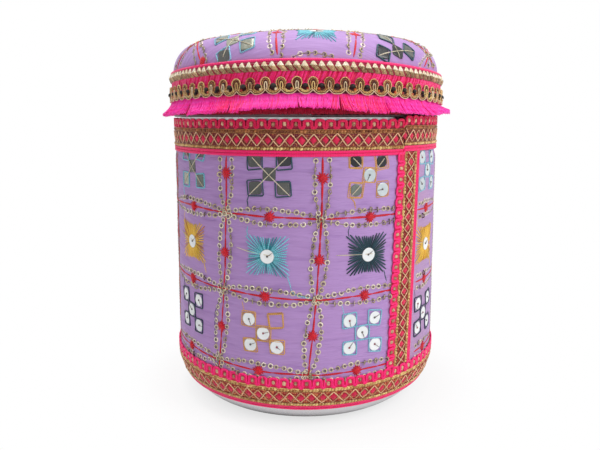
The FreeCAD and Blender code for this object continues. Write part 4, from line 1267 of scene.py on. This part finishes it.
# lit and shaded copies of one gold braid: painted highlight on the facets that look up, painted shade on
# those that slant down
braidLit = foldFinish("braidLit", (214, 190, 146), (255, 252, 236), 0.15)
braidShade = foldFinish("braidShade", (96, 62, 38), (232, 196, 144), 0.35)
tape = {"wraps": 390, "lean": (5.5, 8.5), "height": 1.2, "deepShare": 0.25}


def lidTape():                          # satin wraps side by side, leaning to the right
    piece, count = Piece("lidTape"), tape["wraps"]
    bottom, top, radius = low("lid_tape").z, high("lid_tape").z, lid["radius"] + 0.02
    ground, step = onLidSide(radius), twoPi * radius / count
    t = np.linspace(0, 1, 9)
    start = (np.arange(count) + strays(0.2, count))[:, None] * step
    x = start + t * dice.uniform(*tape["lean"], (count, 1)) + np.sin(t * math.pi) * 0.3
    slots = np.where(dice.uniform(0, 1, count) < tape["deepShare"], 1, 0)
    width = step * dice.uniform(0.8, 1.15, (count, 1))
    paths = paired(x, bottom + 0.3 + (top - bottom - 0.6) * t)
    lay(piece, ground, paths, width, tape["height"], 0.0, 6, slots)
    section = [(bottom + 0.1, 0.02), (bottom + 0.1, 0.5), (top - 0.1, 0.5), (top - 0.1, 0.02)]
    strip(piece, ground, twoPi * radius, 361, section, 2)
    piece.finish("lid", "pink_thread", [tapePink, pinkCord, deepPink], ["lid_tape"])


# loop braid: arches, small upright loops in them, shallow scallops below; (millimetres, share of the height)
loopBraid = {"loops": 65, "cord": 0.5, "nest": 0.45, "drawnPitch": 8.0}
archShape = [(-1.1, 0.24), (-1.25, 0.38), (-1.6, 0.5), (-1.98, 0.64), (-1.98, 0.8), (-1.35, 0.96),
             (0.0, 1.03), (1.35, 0.96), (1.98, 0.8), (1.98, 0.64), (1.6, 0.5), (1.25, 0.38), (1.1, 0.24)]
scallopShape = [(-4.0, 0.02), (-2.8, 0.03), (-1.7, 0.1), (-0.9, 0.22), (0.0, 0.32), (0.9, 0.22), (1.7, 0.1),
                (2.8, 0.03)]
innerShape = [(-0.5, 0.26), (-0.62, 0.44), (-0.66, 0.64), (-0.3, 0.78), (0.3, 0.78), (0.66, 0.64),
              (0.62, 0.44), (0.5, 0.26)]
darkBead = turnedShape([(0.001, 1.9), (0.7, 1.75), (1.2, 1.25), (1.32, 0.8), (1.0, 0.2)], 12)


def lidLoopBraid():
    piece, loops, cord, nest = Piece("lidLoopBraid"), loopBraid["loops"], loopBraid["cord"], loopBraid["nest"]
    foot, radius = low("lid_loop_braid").z + 0.35, -low("lid_tape").x
    tall = high("lid_loop_braid").z - 0.35 - foot
    ground, around = onLidSide(radius), twoPi * radius
    pitch, each = around / loops, np.arange(loops)
    arch, scallop, inner = (np.array(shape) * (pitch / loopBraid["drawnPitch"], tall)
                            for shape in (archShape, scallopShape, innerShape))
    homes = paired(pitch * (each + 0.5), foot)
    for side, slot, rest in ((1, 0, 0.55), (-1, 1, 0.5), (0, 7, 0.25)):
        spots = homes + strays(0.16, (loops, 2))
        lay(piece, ground, beside(rounded(arch), side * nest) + spots[:, None], cord, 0.8, rest, 6, slot)
    path = (scallop + (homes + strays(0.18, (loops, 2)))[:, None]).reshape(-1, 2)
    path = rounded(np.concatenate([path, path[:1] + (around, 0)]))
    for side, slot, rest in ((-1, 6, 0.6), (1, 0, 0.6), (0, 7, 0.3)):
        run = beside(path, side * nest)
        run[-1] = run[0] + (around, 0)
        lay(piece, ground, run[None], cord, 0.8, rest, 6, slot)
    core = paired(0, np.linspace(0.34, 0.97, 6) * tall)     # dark inside each arch
    width = np.array([1.6, 2.2, 3.0, 3.3, 2.8, 1.2])
    lay(piece, ground, core + homes[:, None], width, 0.7, 0.35, 8, np.where(each % 2, 5, 7))
    spots = homes + strays(0.2, (loops, 2))
    lay(piece, ground, rounded(inner) + spots[:, None], 0.5, 0.7, 0.8, 6, np.where(each % 3, 6, 0))
    section = [(0.1, 0.02), (0.1, 0.5), (tall * 0.3, 0.5), (tall * 0.62, 0.3), (tall * 0.62, 0.02)]
    strip(piece, ground, around, 361, [(foot + up, lift) for up, lift in section], 5)
    x = pitch * each                    # over each scallop a large bead, a small one, an arc and a cup
    spots = paired(x + strays(0.2, loops), foot + tall * 0.52)
    stampSlanted(piece, ground, darkBead, spots, 0.0, 1.15, dice.uniform(0.8, 1.02, loops), 2, 0.3)
    spots = paired(x + dice.choice([-1.25, 1.25], loops), foot + tall * 0.3)
    sizes, slots = dice.uniform(0.5, 0.66, loops), dice.choice([2, 3, 3, 6], loops)
    stampSlanted(piece, ground, darkBead, spots, 0.0, 1.0, sizes, slots, 0.4)
    t, x = np.linspace(-1, 1, 7), x[:, None]
    lay(piece, ground, paired(x + 1.9 * t, foot + tall * (0.7 - 0.12 * t ** 2)), 0.5, 0.5, 0.75, 5, 4)
    lay(piece, ground, paired(x + 2.2 * t, foot + tall * (0.15 + 0.17 * t ** 2)), 0.85, 0.7, 0.5, 6, each % 2)
    threads = [goldRope, goldDull, beadBlack, beadRed, pinkCord, braidGap, braidPale, braidBrown]
    piece.finish("lid", "gold_braid", threads, ["lid_loop_braid"])


# a paler copy of the gold for the scallops' outer cords: painted light, as they face down away from the lamps
braidPale = lurexFinish("braidPale", (196, 152, 98), (255, 240, 204), 0.7, 0.15)
braidBrown = threadFinish("braidBrown", (50, 12, 12), (104, 44, 26), 0.8, 0.5)
braidGap = threadFinish("braidGap", (48, 4, 16), (96, 10, 30), 0.8, 0.6)
beadBlack = threadFinish("beadBlack", (7, 4, 5), (34, 22, 18), 0.6, 0.5, 0.3, 0.0)
beadRed = sequinFinish("beadRed", (150, 24, 12), (216, 92, 24), 0.0, 0.2, coat=0.1)

fringe = {"outer": 4600, "inner": 3600, "length": 8.7, "flare": 5.8, "width": 0.46, "reach": 88.0,
          "clumps": 66, "pull": 0.17, "swing": 0.012,
          "waves": [(5, 0.35, 0.4), (13, 0.45, 1.9), (29, 0.4, 0.7), (61, 0.35, 2.8)]}
# shorter in front and at the right, where it spreads too: degrees, half width, how much
fringe["worn"], fringe["spread"] = [(-2, 13, 1.5), (84, 22, 1.7)], (84, 24, 1.3)
# redder places: degrees, half width
fringe["deep"] = [(-28, 6), (16, 6), (26, 4), (105, 7), (150, 6), (-160, 8), (-110, 6)]


def lidFringe():                        # cut threads, bright outside; the inner ones behind are painted deep red as shade
    piece, foot, head = Piece("lidFringe"), low("lid_shell").z, high("lid_fringe").z
    turn = np.linspace(0, twoPi, 361)
    heading = np.stack([0 * turn + foot + 1.7, head + sag(turn)])
    piece.grid(ringGround(turn, heading, lid["radius"] + 0.35)[0], 2)
    t = np.linspace(0, 1, 7)
    width = fringe["width"] * np.array([0.9, 1, 1, 1, 1, 0.9, 0.5])
    for layer in ("outer", "inner"):
        count, clumps = fringe[layer], fringe["clumps"]
        turn = (np.arange(count) + strays(0.5, count)) / count * twoPi
        degrees, top = wrapped(np.degrees(turn), 360), head + 0.6 + sag(turn)
        home = np.sort(dice.uniform(0, twoPi, clumps))
        which = np.argmin(np.abs(wrapped(turn[:, None] - home, twoPi)), axis=1)
        pull = wrapped(home[which] - turn, twoPi) * fringe["pull"]
        wavy = sum(a * np.sin(f * turn + p) for f, a, p in fringe["waves"])
        tuft = dice.uniform(-0.9, 0.5, clumps)[which]
        worn = sum(most * hump(degrees - at, half) for at, half, most in fringe["worn"])
        length = fringe["length"] - 0.6 * np.sin(turn) ** 2 - worn + wavy * 0.45 + tuft * 0.7
        length = length + dice.normal(0, 0.3, count)
        depth = dice.uniform(0, 1, count) ** 0.7
        at, half, most = fringe["spread"]
        spread = 1 + most * hump(degrees - at, half)
        flare = fringe["flare"] * (0.45 + 0.55 * depth) * spread
        if layer == "inner":
            length = top - foot - 1.5 + dice.normal(0, 0.15, count)
            depth, flare = 0 * depth, dice.uniform(0.4, 1.6, count)
        angle = turn[:, None] + (pull + dice.normal(0, fringe["swing"], count))[:, None] * t ** 1.4
        radius = lid["radius"] + 0.6 + depth[:, None] * 0.6 + flare[:, None] * (0.25 * t + 0.75 * t ** 1.7)
        fall = (length / spread ** 0.3)[:, None] * (t + 0.04 * np.sin(t * math.pi))
        paths, out, across = ringGround(angle, top[:, None] - fall, np.minimum(radius, fringe["reach"]))
        redder = 0.06 + 0.7 * sum(hump(wrapped(degrees - c, 360), w) for c, w in fringe["deep"])
        slot = np.where(dice.uniform(0, 1, count) < redder, 1, 0) if layer == "outer" else 2
        piece.tubes(paths, unit(out + (0, 0, 0.35)), width, 0.4, 4, slot, -0.2)
    piece.finish("lid", "pink_thread", [fringePink, fringeDeep, fringeShade], ["lid_fringe"])


fringePink = threadFinish("fringePink", (255, 28, 156), (255, 76, 200), 3.0, 0.45, 0.2, 0.4, 0.14)
fringeDeep = threadFinish("fringeDeep", (255, 18, 104), (255, 56, 150), 3.0, 0.45, 0.2, 0.35, 0.1)
fringeShade = threadFinish("fringeShade", (136, 0, 32), (196, 4, 60), 3.0, 0.5, 0.2, 0.0)

lidPiping()
lidGoldBraid()
lidTape()
lidLoopBraid()
lidFringe()
print("lid trimmed")

bpy.context.view_layer.update()
